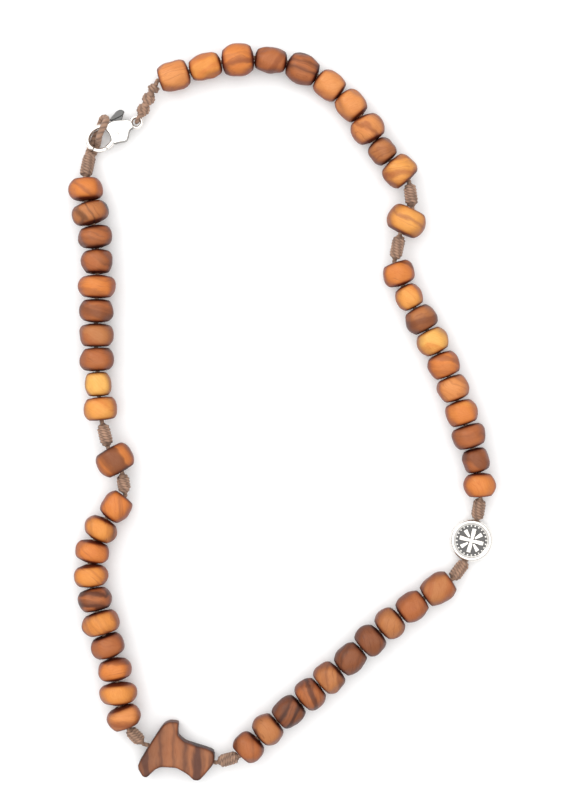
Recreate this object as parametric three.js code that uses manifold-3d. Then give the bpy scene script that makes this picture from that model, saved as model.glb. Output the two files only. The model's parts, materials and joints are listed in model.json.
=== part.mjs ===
// A wooden rosary: five decades of hand-turned beads, two larger beads between
// them, a round medal and a Tau cross, all strung on one knotted cord that is
// closed by a lobster clasp. Millimetres, +Z up, laid out on a flat surface.

import * as THREE from 'three';
import { mergeVertices } from 'three/addons/utils/BufferGeometryUtils.js';
import Module from 'manifold-3d';

const wasm = await Module();
wasm.setup();

// ---------------------------------------------------------------- sizes

// Turned bead blanks. Each bead of a decade is one of these.
const BLANKS = {
  long: { length: 7.5, diameter: 7.3 },
  longSlim: { length: 7.5, diameter: 6.4 },
  longFull: { length: 7.5, diameter: 8.0 },
  mid: { length: 6.7, diameter: 7.2 },
  midFull: { length: 6.3, diameter: 8.3 },
  slim: { length: 5.6, diameter: 6.6 },
  short: { length: 5.7, diameter: 7.8 },
  full: { length: 5.4, diameter: 8.3 },
  wide: { length: 5.4, diameter: 9.1 },
  pater: { length: 6.4, diameter: 9.3 },
};

const BEAD_GAP = 0.25; // play between neighbours on the cord
const BEAD_BORE = 1.8;
const BEAD_DOME = 0.5; // fall of an end face from the bore to its edge
const FACE_PLAY = 0.01; // kept between end faces where the cord turns
const BEAD_SIDES = 12;

const CORD_DIAMETER = 1.0;
const CORD_SIDES = 8;
const WRAP_DIAMETER = 3.1; // whipped knots
const WRAP_SIDES = 10;
const WRAP_TAPER = 0.45; // the whipping falls away at both ends
const CLASP_BALL_DIAMETER = 2.9;

const TAU_THICKNESS = 5.0;
const TAU_BORE = 1.9;
const TAU_EDGE = 0.5; // rounded edge
const TAU_NECK = 0.8; // bare cord kept straight beyond each end of the bore

const MEDAL_DIAMETER = 9.9;
const MEDAL_THICKNESS = 2.6;
const MEDAL_RIM = 1.0;
const MEDAL_RECESS = 0.35;
const MEDAL_BORE = 1.6;
const MEDAL_LIFT = 0.3; // held off the surface by the knots beside it
const MEDAL_SIDES = 28;

const CLASP_THICKNESS = 2.2;
const CLASP_HEIGHT = 2.3; // middle plane above the surface: a cord loop passes below it
const EYE_THICKNESS = 1.4;
const EYE_OUTER = 1.65;
const EYE_HOLE = 0.85;
const HOOK_CENTRE = [9.2, -0.1];
const HOOK_OUTER = [3.7, 3.3];
const HOOK_INNER = [2.5, 1.95];
const LEVER_THICKNESS = 0.9;
const LEVER_SIDE_PLAY = 0.25;
const PIVOT = [5.2, 0.6];
const PIVOT_DIAMETER = 0.8;
const PIVOT_PLAY = 0.2;
const GATE_REACH = 4.9; // from the pivot to the gate's free end
const GATE_PLAY = 0.3;
const SPRING_THICKNESS = 0.3;
const EYE_FROM_KNOT = [-0.95, -1.65]; // plan offset of the eye from the tail knot
const HOOK_FROM_LOOP = [2.4, 3.3]; // a point on the clasp's axis, from the loop's knot

const ROUTE_DIVISIONS = 4000; // steps for measuring the plan's length
const ROUTE_ROUNDS = 5; // times the length is corrected

// The plan of the string, from the clasp's tail round to the loop in its hook.
const ROUTE = [
  [-32.9, 69.2], [-30.3, 76.2], [-25.2, 78.0], [-14.0, 81.3], [-2.7, 82.2],
  [4.8, 79.8], [11.0, 76.2], [18.0, 69.0], [22.6, 60.8], [27.6, 56.0],
  [30.7, 50.6], [28.9, 44.6], [25.8, 38.2], [26.8, 32.2], [36.4, 13.6],
  [42.8, -4.0], [45.9, -16.8], [44.0, -30.0], [41.3, -36.6], [35.6, -40.9],
  [26.6, -47.2], [9.0, -62.8], [-7.6, -76.8], [-12.2, -81.3],
  [-16.2, -80.9], [-31.4, -77.2], [-34.6, -74.4], [-37.2, -69.6], [-38.6, -59.2],
  [-42.2, -48.0], [-44.6, -35.0], [-42.6, -27.4], [-38.6, -21.4], [-35.4, -17.2],
  [-38.2, -11.9], [-41.0, -6.0], [-43.0, 14.0], [-43.1, 40.4], [-45.8, 52.0],
  [-44.7, 60.3],
];

// What is on the cord, in order. A knot's span is the cord between its two
// neighbours, wrap is the whipped length, and lean moves the wrap along it.
const knot = (span, wrap, lean = 0) => ({ kind: 'knot', length: span, wrap, lean });
const DECADES = [
  ['long', 'longSlim', 'longFull', 'longSlim', 'long', 'mid', 'mid', 'midFull', 'slim', 'midFull'],
  ['short', 'slim', 'short', 'short', 'short', 'short', 'short', 'full', 'slim', 'short'],
  ['long', 'mid', 'short', 'short', 'mid', 'short', 'short', 'mid', 'short', 'short'],
  ['full', 'wide', 'full', 'full', 'wide', 'full', 'full', 'full', 'full', 'mid'],
  ['full', 'slim', 'full', 'full', 'full', 'wide', 'short', 'full', 'wide', 'full'],
];
const two = (n) => String(n).padStart(2, '0');
const bead = (name, blank) => ({ kind: 'bead', name, ...BLANKS[blank] });
const decade = (n) => DECADES[n - 1].map((blank, i) => bead(`ave_bead_${n}_${two(i + 1)}`, blank));

const STRING = [
  { kind: 'tail', length: 9.0 },
  ...decade(1),
  knot(6.4, 5.2, 0.1),
  bead('pater_bead_1', 'pater'),
  knot(6.6, 5.4),
  ...decade(2),
  knot(4.9, 4.5),
  { kind: 'medal', length: MEDAL_DIAMETER },
  knot(5.1, 4.7),
  ...decade(3),
  knot(5.9, 4.7, 0.1),
  { kind: 'tau', length: 15.9 + 2 * TAU_NECK },
  knot(5.1, 4.7, 0.1),
  ...decade(4),
  knot(5.8, 4.2, 0.3),
  bead('pater_bead_2', 'pater'),
  knot(6.2, 5.0),
  ...decade(5),
  { kind: 'end', length: 5.6, wrap: 5.0 },
];

// ---------------------------------------------------------------- materials

const WOOD_COLOURS = [0xc9792e, 0xd98f3a, 0xb5662b, 0xa4552a, 0xd08232];
const wood = (index) =>
  new THREE.MeshStandardMaterial({
    color: WOOD_COLOURS[index % WOOD_COLOURS.length],
    roughness: 0.5,
    metalness: 0,
  });
const darkWood = new THREE.MeshStandardMaterial({ color: 0x8a4a2b, roughness: 0.55, metalness: 0 });
const cordFibre = new THREE.MeshStandardMaterial({ color: 0x9b7a66, roughness: 0.9, metalness: 0 });
const silver = () => new THREE.MeshStandardMaterial({ color: 0xd9d6d0, roughness: 0.25, metalness: 1 });

// ---------------------------------------------------------------- solids

function toManifold(geometry) {
  const bare = geometry.clone();
  bare.deleteAttribute('normal');
  bare.deleteAttribute('uv');
  const merged = mergeVertices(bare.index ? bare.toNonIndexed() : bare, 1e-4);
  const solid = new wasm.Mesh({
    numProp: 3,
    vertProperties: new Float32Array(merged.attributes.position.array),
    triVerts: new Uint32Array(merged.index.array),
  });
  return new wasm.Manifold(solid);
}

function toGeometry(manifold) {
  const mesh = manifold.getMesh();
  const geometry = new THREE.BufferGeometry();
  geometry.setAttribute('position', new THREE.BufferAttribute(new Float32Array(mesh.vertProperties), 3));
  geometry.setIndex(new THREE.BufferAttribute(new Uint32Array(mesh.triVerts), 1));
  geometry.computeVertexNormals();
  return geometry;
}

const between = (a, b, t) => a.clone().lerp(b, t);

// A flat plate of the given outline, centred on z = 0.
function plate(points, thickness) {
  const shape = new THREE.Shape(points.map(([x, y]) => new THREE.Vector2(x, y)));
  const geometry = new THREE.ExtrudeGeometry(shape, { depth: thickness, bevelEnabled: false });
  return toManifold(geometry.translate(0, 0, -thickness / 2));
}

function ellipse([x, y], [rx, ry], sides) {
  const points = [];
  for (let i = 0; i < sides; i += 1) {
    const angle = (2 * Math.PI * i) / sides;
    points.push([x + rx * Math.cos(angle), y + ry * Math.sin(angle)]);
  }
  return points;
}

const rectangle = (x0, y0, x1, y1) => [[x0, y0], [x1, y0], [x1, y1], [x0, y1]];

// A round bar between two points of space.
function bar(from, to, radius, sides) {
  const length = from.distanceTo(to);
  const geometry = new THREE.CylinderGeometry(radius, radius, length, sides);
  const turn = new THREE.Quaternion();
  turn.setFromUnitVectors(new THREE.Vector3(0, 1, 0), to.clone().sub(from).normalize());
  geometry.applyQuaternion(turn);
  const middle = between(from, to, 0.5);
  geometry.translate(middle.x, middle.y, middle.z);
  return toManifold(geometry);
}

// A whipped knot: a barrel that tapers at both ends.
function barrel(from, to, radius, taper) {
  const half = from.distanceTo(to) / 2;
  const outline = [[0, -half], [radius - taper, -half], [radius, taper - half],
    [radius, half - taper], [radius - taper, half], [0, half]];
  const geometry = new THREE.LatheGeometry(outline.map(([x, y]) => new THREE.Vector2(x, y)), WRAP_SIDES);
  const turn = new THREE.Quaternion();
  turn.setFromUnitVectors(new THREE.Vector3(0, 1, 0), to.clone().sub(from).normalize());
  geometry.applyQuaternion(turn);
  const middle = between(from, to, 0.5);
  geometry.translate(middle.x, middle.y, middle.z);
  return toManifold(geometry);
}

// A path through points exactly as listed, one ring of a swept tube at each.
class PointPath extends THREE.Curve {
  constructor(points) {
    super();
    this.points = points;
  }

  getPoint(t) {
    const place = t * (this.points.length - 1);
    const index = Math.min(Math.floor(place + 1e-9), this.points.length - 2);
    return this.points[index].clone().lerp(this.points[index + 1], place - index);
  }

  getPointAt(u) {
    return this.getPoint(u);
  }

  getTangentAt(u) {
    const last = this.points.length - 1;
    const index = Math.round(u * last);
    const before = this.points[Math.max(index - 1, 0)];
    const after = this.points[Math.min(index + 1, last)];
    const here = this.points[index];
    const arriving = here.clone().sub(before).normalize();
    const leaving = after.clone().sub(here).normalize();
    return arriving.add(leaving).normalize();
  }
}

function rope(points, diameter) {
  const section = new THREE.Shape();
  ellipse([0, 0], [diameter / 2, diameter / 2], CORD_SIDES).forEach(([x, y], i) => {
    if (i === 0) section.moveTo(x, y);
    else section.lineTo(x, y);
  });
  const path = new PointPath(points);
  return toManifold(new THREE.ExtrudeGeometry(section, { steps: points.length - 1, extrudePath: path }));
}

// ---------------------------------------------------------------- stringing

const isRound = (item) => item.kind === 'bead';

// Height of the cord where two neighbours meet: it clears the surface by the
// larger bead's radius, and comes down to the flat pieces.
function height(item) {
  if (isRound(item)) return item.diameter / 2;
  if (item.kind === 'medal') return MEDAL_THICKNESS / 2 + MEDAL_LIFT;
  if (item.kind === 'tau') return TAU_THICKNESS / 2;
  return 0;
}

// The route grown by a factor, while both of its ends stay at the clasp.
function grownRoute(factor) {
  const points = ROUTE.map(([x, y]) => new THREE.Vector3(x, y, 0));
  const last = points.length - 1;
  const grown = points.map((point, i) => {
    const chord = between(points[0], points[last], i / last);
    return chord.lerp(point, factor);
  });
  const plan = new THREE.CatmullRomCurve3(grown, false, 'centripetal');
  plan.arcLengthDivisions = ROUTE_DIVISIONS;
  return plan;
}

// The plan of the string, as long as everything that is on it.
function planOfLength(total) {
  let factor = 1;
  for (let round = 0; round < ROUTE_ROUNDS; round += 1) {
    factor *= total / grownRoute(factor).getLength();
  }
  return grownRoute(factor);
}

function strung() {
  const total = STRING.reduce((sum, item) => sum + item.length + BEAD_GAP, 0);
  const plan = planOfLength(total);
  let along = 0;
  const heights = STRING.map(height);
  return STRING.map((item, i) => {
    const from = plan.getPointAt(along / total);
    along = Math.min(along + item.length + BEAD_GAP, total);
    const to = plan.getPointAt(along / total);
    const flat = item.kind === 'medal' || item.kind === 'tau';
    const meet = (other) => {
      if (flat) return heights[i];
      if (other === undefined) return CLASP_HEIGHT;
      const next = STRING[other];
      if (next.kind === 'medal' || next.kind === 'tau') return heights[other];
      return Math.max(heights[i], heights[other]);
    };
    from.z = meet(i > 0 ? i - 1 : undefined);
    to.z = i === STRING.length - 1 ? WRAP_DIAMETER / 2 : meet(i + 1);
    return { ...item, from, to };
  });
}

const strand = strung();
const one = (kind) => strand.find((item) => item.kind === kind);

// ---------------------------------------------------------------- beads

// Half the turn of the cord between two neighbours, as a slope.
function leanBetween(item, other) {
  if (other === undefined) return 0;
  const axis = item.to.clone().sub(item.from);
  return Math.tan(axis.angleTo(other.to.clone().sub(other.from)) / 2);
}


// A barrel bead about the Y axis with domed ends and a bore. The end faces fall
// away further where the cord turns sharply.
function beadGeometry({ length, diameter, from, to }, [leanBefore, leanAfter]) {
  const bore = BEAD_BORE / 2;
  const radius = diameter / 2;
  const half = length / 2;
  const room = (from.distanceTo(to) - length) / 2 - FACE_PLAY;
  const fallAt = (reach, lean, least) => Math.max(least, reach * lean - room);
  const face = bore + 0.5 * (radius - bore);
  const shoulder = 0.88 * radius;
  const mouthBefore = -half + fallAt(bore, leanBefore, 0);
  const mouthAfter = half - fallAt(bore, leanAfter, 0);
  const outline = [
    [bore, mouthBefore],
    [face, -half + fallAt(face, leanBefore, BEAD_DOME)],
    [shoulder, -0.6 * half],
    [radius, 0],
    [shoulder, 0.6 * half],
    [face, half - fallAt(face, leanAfter, BEAD_DOME)],
    [bore, mouthAfter],
    [bore, mouthBefore],
  ];
  return new THREE.LatheGeometry(outline.map(([x, y]) => new THREE.Vector2(x, y)), BEAD_SIDES);
}

// Turns the Y axis along the cord, with a corner of the section straight down.
function alongCord(mesh, from, to) {
  const axis = to.clone().sub(from).normalize();
  const side = new THREE.Vector3(0, 0, 1).cross(axis).normalize();
  const up = axis.clone().cross(side);
  mesh.matrixAutoUpdate = false;
  mesh.matrix.makeBasis(side.negate(), axis, up);
  mesh.matrix.setPosition(from.clone().add(to).multiplyScalar(0.5));
  return mesh;
}

function addBeads(rosary) {
  strand.forEach((item, i) => {
    if (!isRound(item)) return;
    const leans = [strand[i - 1], strand[i + 1]].map((other) => leanBetween(item, other));
    const mesh = new THREE.Mesh(beadGeometry(item, leans), wood(i * 3));
    mesh.name = item.name;
    rosary.add(alongCord(mesh, item.from, item.to));
  });
}

// ---------------------------------------------------------------- Tau cross

// Plan of the Tau: x runs up the stem from its foot, y across it. The cross bar
// is sawn at a slant to the stem.
const TAU_OUTLINE = [
  [0.3, -2.8], [7.4, -3.1], [9.5, -4.2], [10.0, -7.2], [12.2, -6.8], [13.5, -5.6],
  [17.0, 5.0], [15.0, 7.1], [14.0, 7.1], [12.6, 4.8], [11.4, 3.9], [7.8, 3.2],
  [4.8, 4.1], [3.3, 5.0], [1.9, 4.7], [-0.4, 0.0],
];

// A frame at a point of the surface with its x axis towards another.
function frameTowards(from, to) {
  const turned = new THREE.Group();
  turned.position.copy(from);
  turned.rotation.z = Math.atan2(to.y - from.y, to.x - from.x);
  return turned;
}

function addTau(rosary) {
  const item = one('tau');
  const shape = new THREE.Shape(TAU_OUTLINE.map(([x, y]) => new THREE.Vector2(x, y)));
  const block = new THREE.ExtrudeGeometry(shape, {
    depth: TAU_THICKNESS - 2 * TAU_EDGE,
    bevelThickness: TAU_EDGE,
    bevelSize: TAU_EDGE,
    bevelOffset: -TAU_EDGE,
    bevelSegments: 2,
  });
  block.translate(0, 0, -TAU_THICKNESS / 2 + TAU_EDGE);
  const bore = bar(new THREE.Vector3(-3, 0, 0), new THREE.Vector3(20, 0, 0), TAU_BORE / 2, BEAD_SIDES);
  const mesh = new THREE.Mesh(toGeometry(toManifold(block).subtract(bore)), darkWood);
  mesh.name = 'tau_cross';
  mesh.position.x = TAU_NECK;
  const turned = frameTowards(item.from, item.to);
  turned.add(mesh);
  rosary.add(turned);
}

// ---------------------------------------------------------------- medal

function addMedal(rosary) {
  const item = one('medal');
  const radius = MEDAL_DIAMETER / 2;
  const half = MEDAL_THICKNESS / 2;
  const field = radius - MEDAL_RIM;
  const outline = [
    [0, -half + MEDAL_RECESS],
    [field, -half + MEDAL_RECESS],
    [field + 0.2, -half],
    [radius - 0.3, -half],
    [radius, -half + 0.3],
    [radius, half - 0.3],
    [radius - 0.3, half],
    [field + 0.2, half],
    [field, half - MEDAL_RECESS],
    [0, half - MEDAL_RECESS],
  ];
  const disc = new THREE.LatheGeometry(outline.map(([x, y]) => new THREE.Vector2(x, y)), MEDAL_SIDES);
  disc.rotateX(Math.PI / 2);
  const reach = new THREE.Vector3(radius + 1, 0, 0);
  const bore = bar(reach.clone().negate(), reach, MEDAL_BORE / 2, BEAD_SIDES);
  const mesh = new THREE.Mesh(toGeometry(toManifold(disc).subtract(bore)), silver());
  mesh.name = 'medal';
  mesh.position.x = item.from.distanceTo(item.to) / 2;
  const turned = frameTowards(item.from, item.to);
  turned.add(mesh);
  rosary.add(turned);
}

// ---------------------------------------------------------------- clasp

// Clasp frame: x runs from the middle of the tail eye towards the hook.
const HOUSING = [
  [0.9, -0.9], [2.2, -1.6], [4.5, -2.5], [6.6, -2.6], [6.6, 2.5], [5.6, 2.5],
  [3.9, 3.1], [3.1, 2.3], [2.2, 1.0], [1.0, 0.9],
];
const LEVER_ARM = [
  [6.9, 2.5], [5.2, 1.8], [4.3, 1.2], [3.4, -1.4], [2.4, -2.4], [1.6, -3.6],
  [2.2, -4.1], [3.0, -4.1], [4.2, -3.0], [4.9, -1.2], [5.8, -0.2], [6.9, 1.0],
];
const SPRING_LINE = [[3.5, 1.9], [3.5, 0.7], [4.1, 1.75]];
const EYE_ROUND = 20;
const HOOK_ROUND = 36;

const standing = ([x, y], radius, sides) =>
  bar(new THREE.Vector3(x, y, -3), new THREE.Vector3(x, y, 3), radius, sides);

function hookRing(thickness) {
  const outer = plate(ellipse(HOOK_CENTRE, HOOK_OUTER, HOOK_ROUND), thickness);
  return outer.subtract(plate(ellipse(HOOK_CENTRE, HOOK_INNER, HOOK_ROUND), 2 * thickness));
}

function claspBody() {
  const slot = LEVER_THICKNESS + 2 * LEVER_SIDE_PLAY;
  const mouth = standing(PIVOT, GATE_REACH + GATE_PLAY, 2 * HOOK_ROUND).intersect(
    plate(rectangle(PIVOT[0] + 1.0, 0.9, 11, 4), 2 * CLASP_THICKNESS),
  );
  const hollow = plate(ellipse(HOOK_CENTRE, HOOK_INNER, HOOK_ROUND), 2 * CLASP_THICKNESS);
  return plate(HOUSING, CLASP_THICKNESS)
    .subtract(hollow)
    .add(hookRing(CLASP_THICKNESS))
    .subtract(plate(rectangle(1.0, -4.6, 5.7, -0.3), slot))
    .subtract(plate(rectangle(3.1, -0.4, 7.0, 2.2), slot))
    .subtract(mouth)
    .add(plate(ellipse([0, 0], [EYE_OUTER, EYE_OUTER], EYE_ROUND), EYE_THICKNESS))
    .subtract(standing([0, 0], EYE_HOLE, EYE_ROUND))
    .subtract(standing(PIVOT, PIVOT_DIAMETER / 2 + PIVOT_PLAY, BEAD_SIDES));
}

function claspLever() {
  const gate = hookRing(LEVER_THICKNESS)
    .intersect(standing(PIVOT, GATE_REACH, 2 * HOOK_ROUND))
    .intersect(plate(rectangle(6.3, 1.2, 11, 4), LEVER_THICKNESS));
  return gate
    .add(plate(LEVER_ARM, LEVER_THICKNESS))
    .subtract(standing(PIVOT, PIVOT_DIAMETER / 2 + PIVOT_PLAY, BEAD_SIDES));
}

function claspSpring() {
  const half = SPRING_THICKNESS / 2;
  const [top, bend, free] = SPRING_LINE;
  const outline = [
    [top[0] - half, top[1]],
    [bend[0] - half, bend[1] - half],
    [bend[0] + 2 * half, bend[1] - half],
    [free[0] + half, free[1]],
    [free[0] - half, free[1] + half / 2],
    [bend[0] + half, bend[1] + 2 * half],
    [top[0] + half, top[1]],
  ];
  return plate(outline, LEVER_THICKNESS - 0.1);
}

function claspFrame() {
  const tail = one('tail').from;
  const loop = one('end').to;
  const eye = new THREE.Vector3(tail.x + EYE_FROM_KNOT[0], tail.y + EYE_FROM_KNOT[1], CLASP_HEIGHT);
  const hook = new THREE.Vector3(loop.x + HOOK_FROM_LOOP[0], loop.y + HOOK_FROM_LOOP[1], CLASP_HEIGHT);
  return frameTowards(eye, hook);
}

function addClasp(rosary) {
  const turned = claspFrame();
  const reach = CLASP_THICKNESS / 2 - 0.05;
  const pin = bar(
    new THREE.Vector3(...PIVOT, -reach),
    new THREE.Vector3(...PIVOT, reach),
    PIVOT_DIAMETER / 2,
    WRAP_SIDES,
  );
  const pieces = {
    clasp_body: claspBody(),
    clasp_lever: claspLever(),
    clasp_pin: pin,
    clasp_spring: claspSpring(),
  };
  Object.entries(pieces).forEach(([name, solid]) => {
    const mesh = new THREE.Mesh(toGeometry(solid), silver());
    mesh.name = name;
    turned.add(mesh);
  });
  rosary.add(turned);
}

// ---------------------------------------------------------------- cord

// Points of the cord: every place where two pieces meet, and two points near
// the ends of each straight bore, so that the cord runs straight through it.
function cordPoints() {
  const points = [strand[0].from.clone()];
  strand.forEach(({ kind, from, to }) => {
    if (kind === 'tau' || kind === 'medal') {
      const shares = kind === 'tau' ? [0.06, 0.5, 0.94] : [0.12, 0.5, 0.88];
      shares.forEach((share) => points.push(between(from, to, share)));
    } else if (kind !== 'bead') {
      points.push(between(from, to, 0.5));
    }
    points.push(to.clone());
  });
  return points;
}

// Shares of the tail's length where its two whipped barrels start and stop.
const TAIL_WRAPS = [[0.02, 0.31], [0.34, 0.62]];
const TAIL_BALL_AT = 0.76;

function wraps() {
  const radius = WRAP_DIAMETER / 2;
  const solids = [];
  strand.forEach(({ kind, from, to, wrap, lean = 0 }) => {
    const span = from.distanceTo(to);
    if (kind === 'knot' || kind === 'end') {
      const start = 0.5 + (lean - wrap / 2) / span;
      const stop = 0.5 + (lean + wrap / 2) / span;
      solids.push(barrel(between(from, to, start), between(from, to, stop), radius, WRAP_TAPER));
    }
    if (kind === 'tail') {
      TAIL_WRAPS.forEach(([start, stop]) => {
        solids.push(barrel(between(from, to, start), between(from, to, stop), radius, WRAP_TAPER));
      });
      const ball = new THREE.SphereGeometry(CLASP_BALL_DIAMETER / 2, WRAP_SIDES, 6);
      const place = between(from, to, TAIL_BALL_AT);
      solids.push(toManifold(ball.translate(place.x, place.y, place.z)));
    }
  });
  return solids;
}

// The short loop that ties the tail knot to the clasp's eye: over the rim,
// down through the hole and back below it.
function tailLoop(eye) {
  const knotEnd = one('tail').from;
  const level = new THREE.Vector3(knotEnd.x, knotEnd.y, eye.z);
  const out = level.sub(eye).normalize();
  const place = (distance, rise) =>
    eye.clone().addScaledVector(out, distance).add(new THREE.Vector3(0, 0, rise));
  const over = EYE_THICKNESS / 2 + 0.15 + CORD_DIAMETER / 2;
  return [
    place(3.2, 0.5), place(2.3, 0.9 * over), place(1.3, over), place(0.45, 0.8 * over),
    place(0.05, 0), place(0.45, -0.8 * over), place(1.3, -over), place(2.3, -0.9 * over),
    place(3.2, -0.1),
  ];
}

// The loop at the cord's other end. Both legs pass below the hook's bow; one
// comes up through the hook and over its back, where they join.
const LOOP_FAR = [6.4, -3.9]; // in the clasp's frame
const LOOP_HALF_WIDTH = 0.6;
const LOOP_LEG_OVER = [[0.6, 0.6], [2.6, 0.55], [3.4, 1.7], [3.9, 3.2], [4.7, 4.1], [7.6, 4.1], [8.7, 3.3]];
const LOOP_LEG_UNDER = [[8.7, 1.3], [7.6, 0.6], [2.6, 0.55], [0.6, 0.6]];

function endLoop(turned) {
  const start = one('end').to;
  const far = turned.localToWorld(new THREE.Vector3(...LOOP_FAR, 0));
  const out = new THREE.Vector3(far.x - start.x, far.y - start.y, 0).normalize();
  const side = new THREE.Vector3(-out.y, out.x, 0);
  const place = (distance, rise, sideways) =>
    new THREE.Vector3(start.x, start.y, rise)
      .addScaledVector(out, distance)
      .addScaledVector(side, sideways);
  return [
    place(-1.2, WRAP_DIAMETER / 2, -0.3),
    ...LOOP_LEG_OVER.map(([distance, rise]) => place(distance, rise, -LOOP_HALF_WIDTH)),
    place(9.1, 2.3, 0),
    ...LOOP_LEG_UNDER.map(([distance, rise]) => place(distance, rise, LOOP_HALF_WIDTH)),
    place(-1.2, WRAP_DIAMETER / 2, 0.3),
  ];
}

function addCord(rosary) {
  const turned = claspFrame();
  turned.updateMatrixWorld();
  const loopDiameter = 0.9 * CORD_DIAMETER;
  let solid = rope(cordPoints(), CORD_DIAMETER);
  wraps().forEach((wrap) => {
    solid = solid.add(wrap);
  });
  solid = solid.add(rope(tailLoop(turned.position), loopDiameter));
  solid = solid.add(rope(endLoop(turned), loopDiameter));
  const mesh = new THREE.Mesh(toGeometry(solid), cordFibre);
  mesh.name = 'cord';
  rosary.add(mesh);
}

// ---------------------------------------------------------------- assembly

// Stands the group on z = 0 with the middle of its box at the origin.
function centred(group) {
  group.updateMatrixWorld(true);
  const box = new THREE.Box3().setFromObject(group, true);
  const middle = box.getCenter(new THREE.Vector3());
  group.position.set(-middle.x, -middle.y, -box.min.z);
  return group;
}

function buildRosary() {
  const rosary = new THREE.Group();
  addBeads(rosary);
  addTau(rosary);
  addMedal(rosary);
  addClasp(rosary);
  addCord(rosary);
  return centred(rosary);
}

export default buildRosary();
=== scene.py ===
"""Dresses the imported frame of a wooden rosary: turned olive wood beads, whipped knots, a Tau cross,
a round medal and a lobster clasp, on a pale floor under soft light. Metres, +Z up."""

import json
import math
import random

import bmesh
import bpy
from mathutils import Matrix, Quaternion, Vector, geometry, noise

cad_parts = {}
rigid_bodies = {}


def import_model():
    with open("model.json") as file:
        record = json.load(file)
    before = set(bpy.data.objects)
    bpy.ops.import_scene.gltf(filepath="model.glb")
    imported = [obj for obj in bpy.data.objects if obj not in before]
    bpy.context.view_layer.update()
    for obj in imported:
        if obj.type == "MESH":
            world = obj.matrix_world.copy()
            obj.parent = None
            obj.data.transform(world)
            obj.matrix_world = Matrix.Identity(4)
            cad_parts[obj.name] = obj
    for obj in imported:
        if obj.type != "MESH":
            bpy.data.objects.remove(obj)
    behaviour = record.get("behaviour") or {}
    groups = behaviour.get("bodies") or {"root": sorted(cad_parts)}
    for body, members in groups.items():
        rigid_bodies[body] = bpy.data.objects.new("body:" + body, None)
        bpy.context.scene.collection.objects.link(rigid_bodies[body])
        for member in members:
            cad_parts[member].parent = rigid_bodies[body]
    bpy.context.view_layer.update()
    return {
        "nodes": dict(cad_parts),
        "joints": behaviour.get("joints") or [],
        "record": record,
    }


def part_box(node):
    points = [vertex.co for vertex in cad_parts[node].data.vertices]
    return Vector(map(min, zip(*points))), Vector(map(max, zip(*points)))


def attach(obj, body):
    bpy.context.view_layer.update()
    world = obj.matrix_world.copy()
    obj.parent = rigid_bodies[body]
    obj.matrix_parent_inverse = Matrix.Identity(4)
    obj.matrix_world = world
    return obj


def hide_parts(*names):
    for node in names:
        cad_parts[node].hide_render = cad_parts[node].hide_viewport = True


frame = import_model()

bl_info = {
    "name": "Wooden rosary",
    "version": (1, 0, 0),
    "blender": (4, 5, 0),
    "location": "View3D > Sidebar > Rosary",
    "description": "Beads, knots, cross, medal and clasp of a wooden rosary",
    "category": "Add Mesh",
}

MM = 0.001
UP = Vector((0, 0, 1))
LEVEL = (Vector((1, 0, 0)), Vector((0, 1, 0)))

# Bare cord between the cross's bore and the middle of the play at its knots.
TAU_FOOT_PLAY = 0.4 * MM
TAU_BAR_PLAY = 1.6 * MM
BEAD_PLAY = 0.25 * MM  # between neighbours on the cord
LOOP_KNOT_END = Vector((-44.88, 60.25, 1.55)) * MM  # where the end knot stops and the loop starts
CLASP_HEADING = math.radians(-154.95)  # from the clasp's eye to its hook
CLASP_PIVOT = Vector((5.2, 0.6, 0.0)) * MM  # in the clasp's frame, from the eye
EYE_FROM_KNOT = Vector((-0.95, -1.65, 0.0)) * MM

END_ANGLES = (30, 60, 85)  # degrees, the rings that round off a cord's end
STRAND_RADIUS = 0.42 * MM  # of the cord that is wound into a whipping
STEPS_A_TURN = 18
FLOOR_REACH = 1.5
FLOOR_DROP = 0.05 * MM  # keeps the floor just below the pieces
DRILL_SIDES = 24
RIVET_SIDES = 20
EYE_STEPS = 28
EYE_SIDES = 12
HOOK_SIDES = 18
HOOK_SQUARENESS = 2.6  # 2 is a round section, more is squarer

# ---------------------------------------------------------------- reading the frame


def centre_of(node):
    low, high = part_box(node)
    return (low + high) / 2


class Bead:
    """Where a bead sits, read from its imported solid: the longest edges are its bore's."""

    def __init__(self, node, away_from):
        mesh = frame["nodes"][node].data
        points = [v.co.copy() for v in mesh.vertices]
        runs = [points[b] - points[a] for a, b in (e.vertices for e in mesh.edges)]
        longest = max(run.length for run in runs)
        runs = [run for run in runs if run.length > 0.97 * longest]
        total = Vector()
        for run in runs:
            total += run if run.dot(runs[0]) > 0 else -run
        self.node = node
        self.centre = centre_of(node)
        self.length = total.length / len(runs)
        self.axis = total.normalized()
        if self.axis.dot(self.centre - away_from) < 0:
            self.axis.negate()
        self.radius = max((p - self.centre).cross(self.axis).length for p in points)

    def stop(self, side):
        """The middle of the play beyond one end; side is -1 or 1."""
        return self.centre + self.axis * side * (self.length + BEAD_PLAY) / 2


def joints_of(body):
    return [j for j in frame["joints"] if body in (j["parent"], j["child"])]


def joint_into(body):
    return next(j for j in frame["joints"] if j["child"] == body)


def joint_point(joint):
    return Vector(joint["pos_m"])


def bore_of(node):
    """Middles of the two mouths of a flat piece's level bore."""
    low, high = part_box(node)
    tall = high.z - low.z
    mesh = frame["nodes"][node].data
    ring = [v.co.copy() for v in mesh.vertices if 0.15 < (v.co.z - low.z) / tall < 0.85]
    spread = max(((a - b).length, i, k) for i, a in enumerate(ring) for k, b in enumerate(ring))
    one, other = ring[spread[1]], ring[spread[2]]
    near = [p for p in ring if (p - one).length < (p - other).length]
    far = [p for p in ring if (p - one).length >= (p - other).length]
    return sum(near, Vector()) / len(near), sum(far, Vector()) / len(far)


def read_beads():
    beads = {}
    for node in frame["nodes"]:
        if "bead" in node:
            beads[node] = Bead(node, joint_point(joint_into(node)))
    return beads


BEADS = read_beads()


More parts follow.
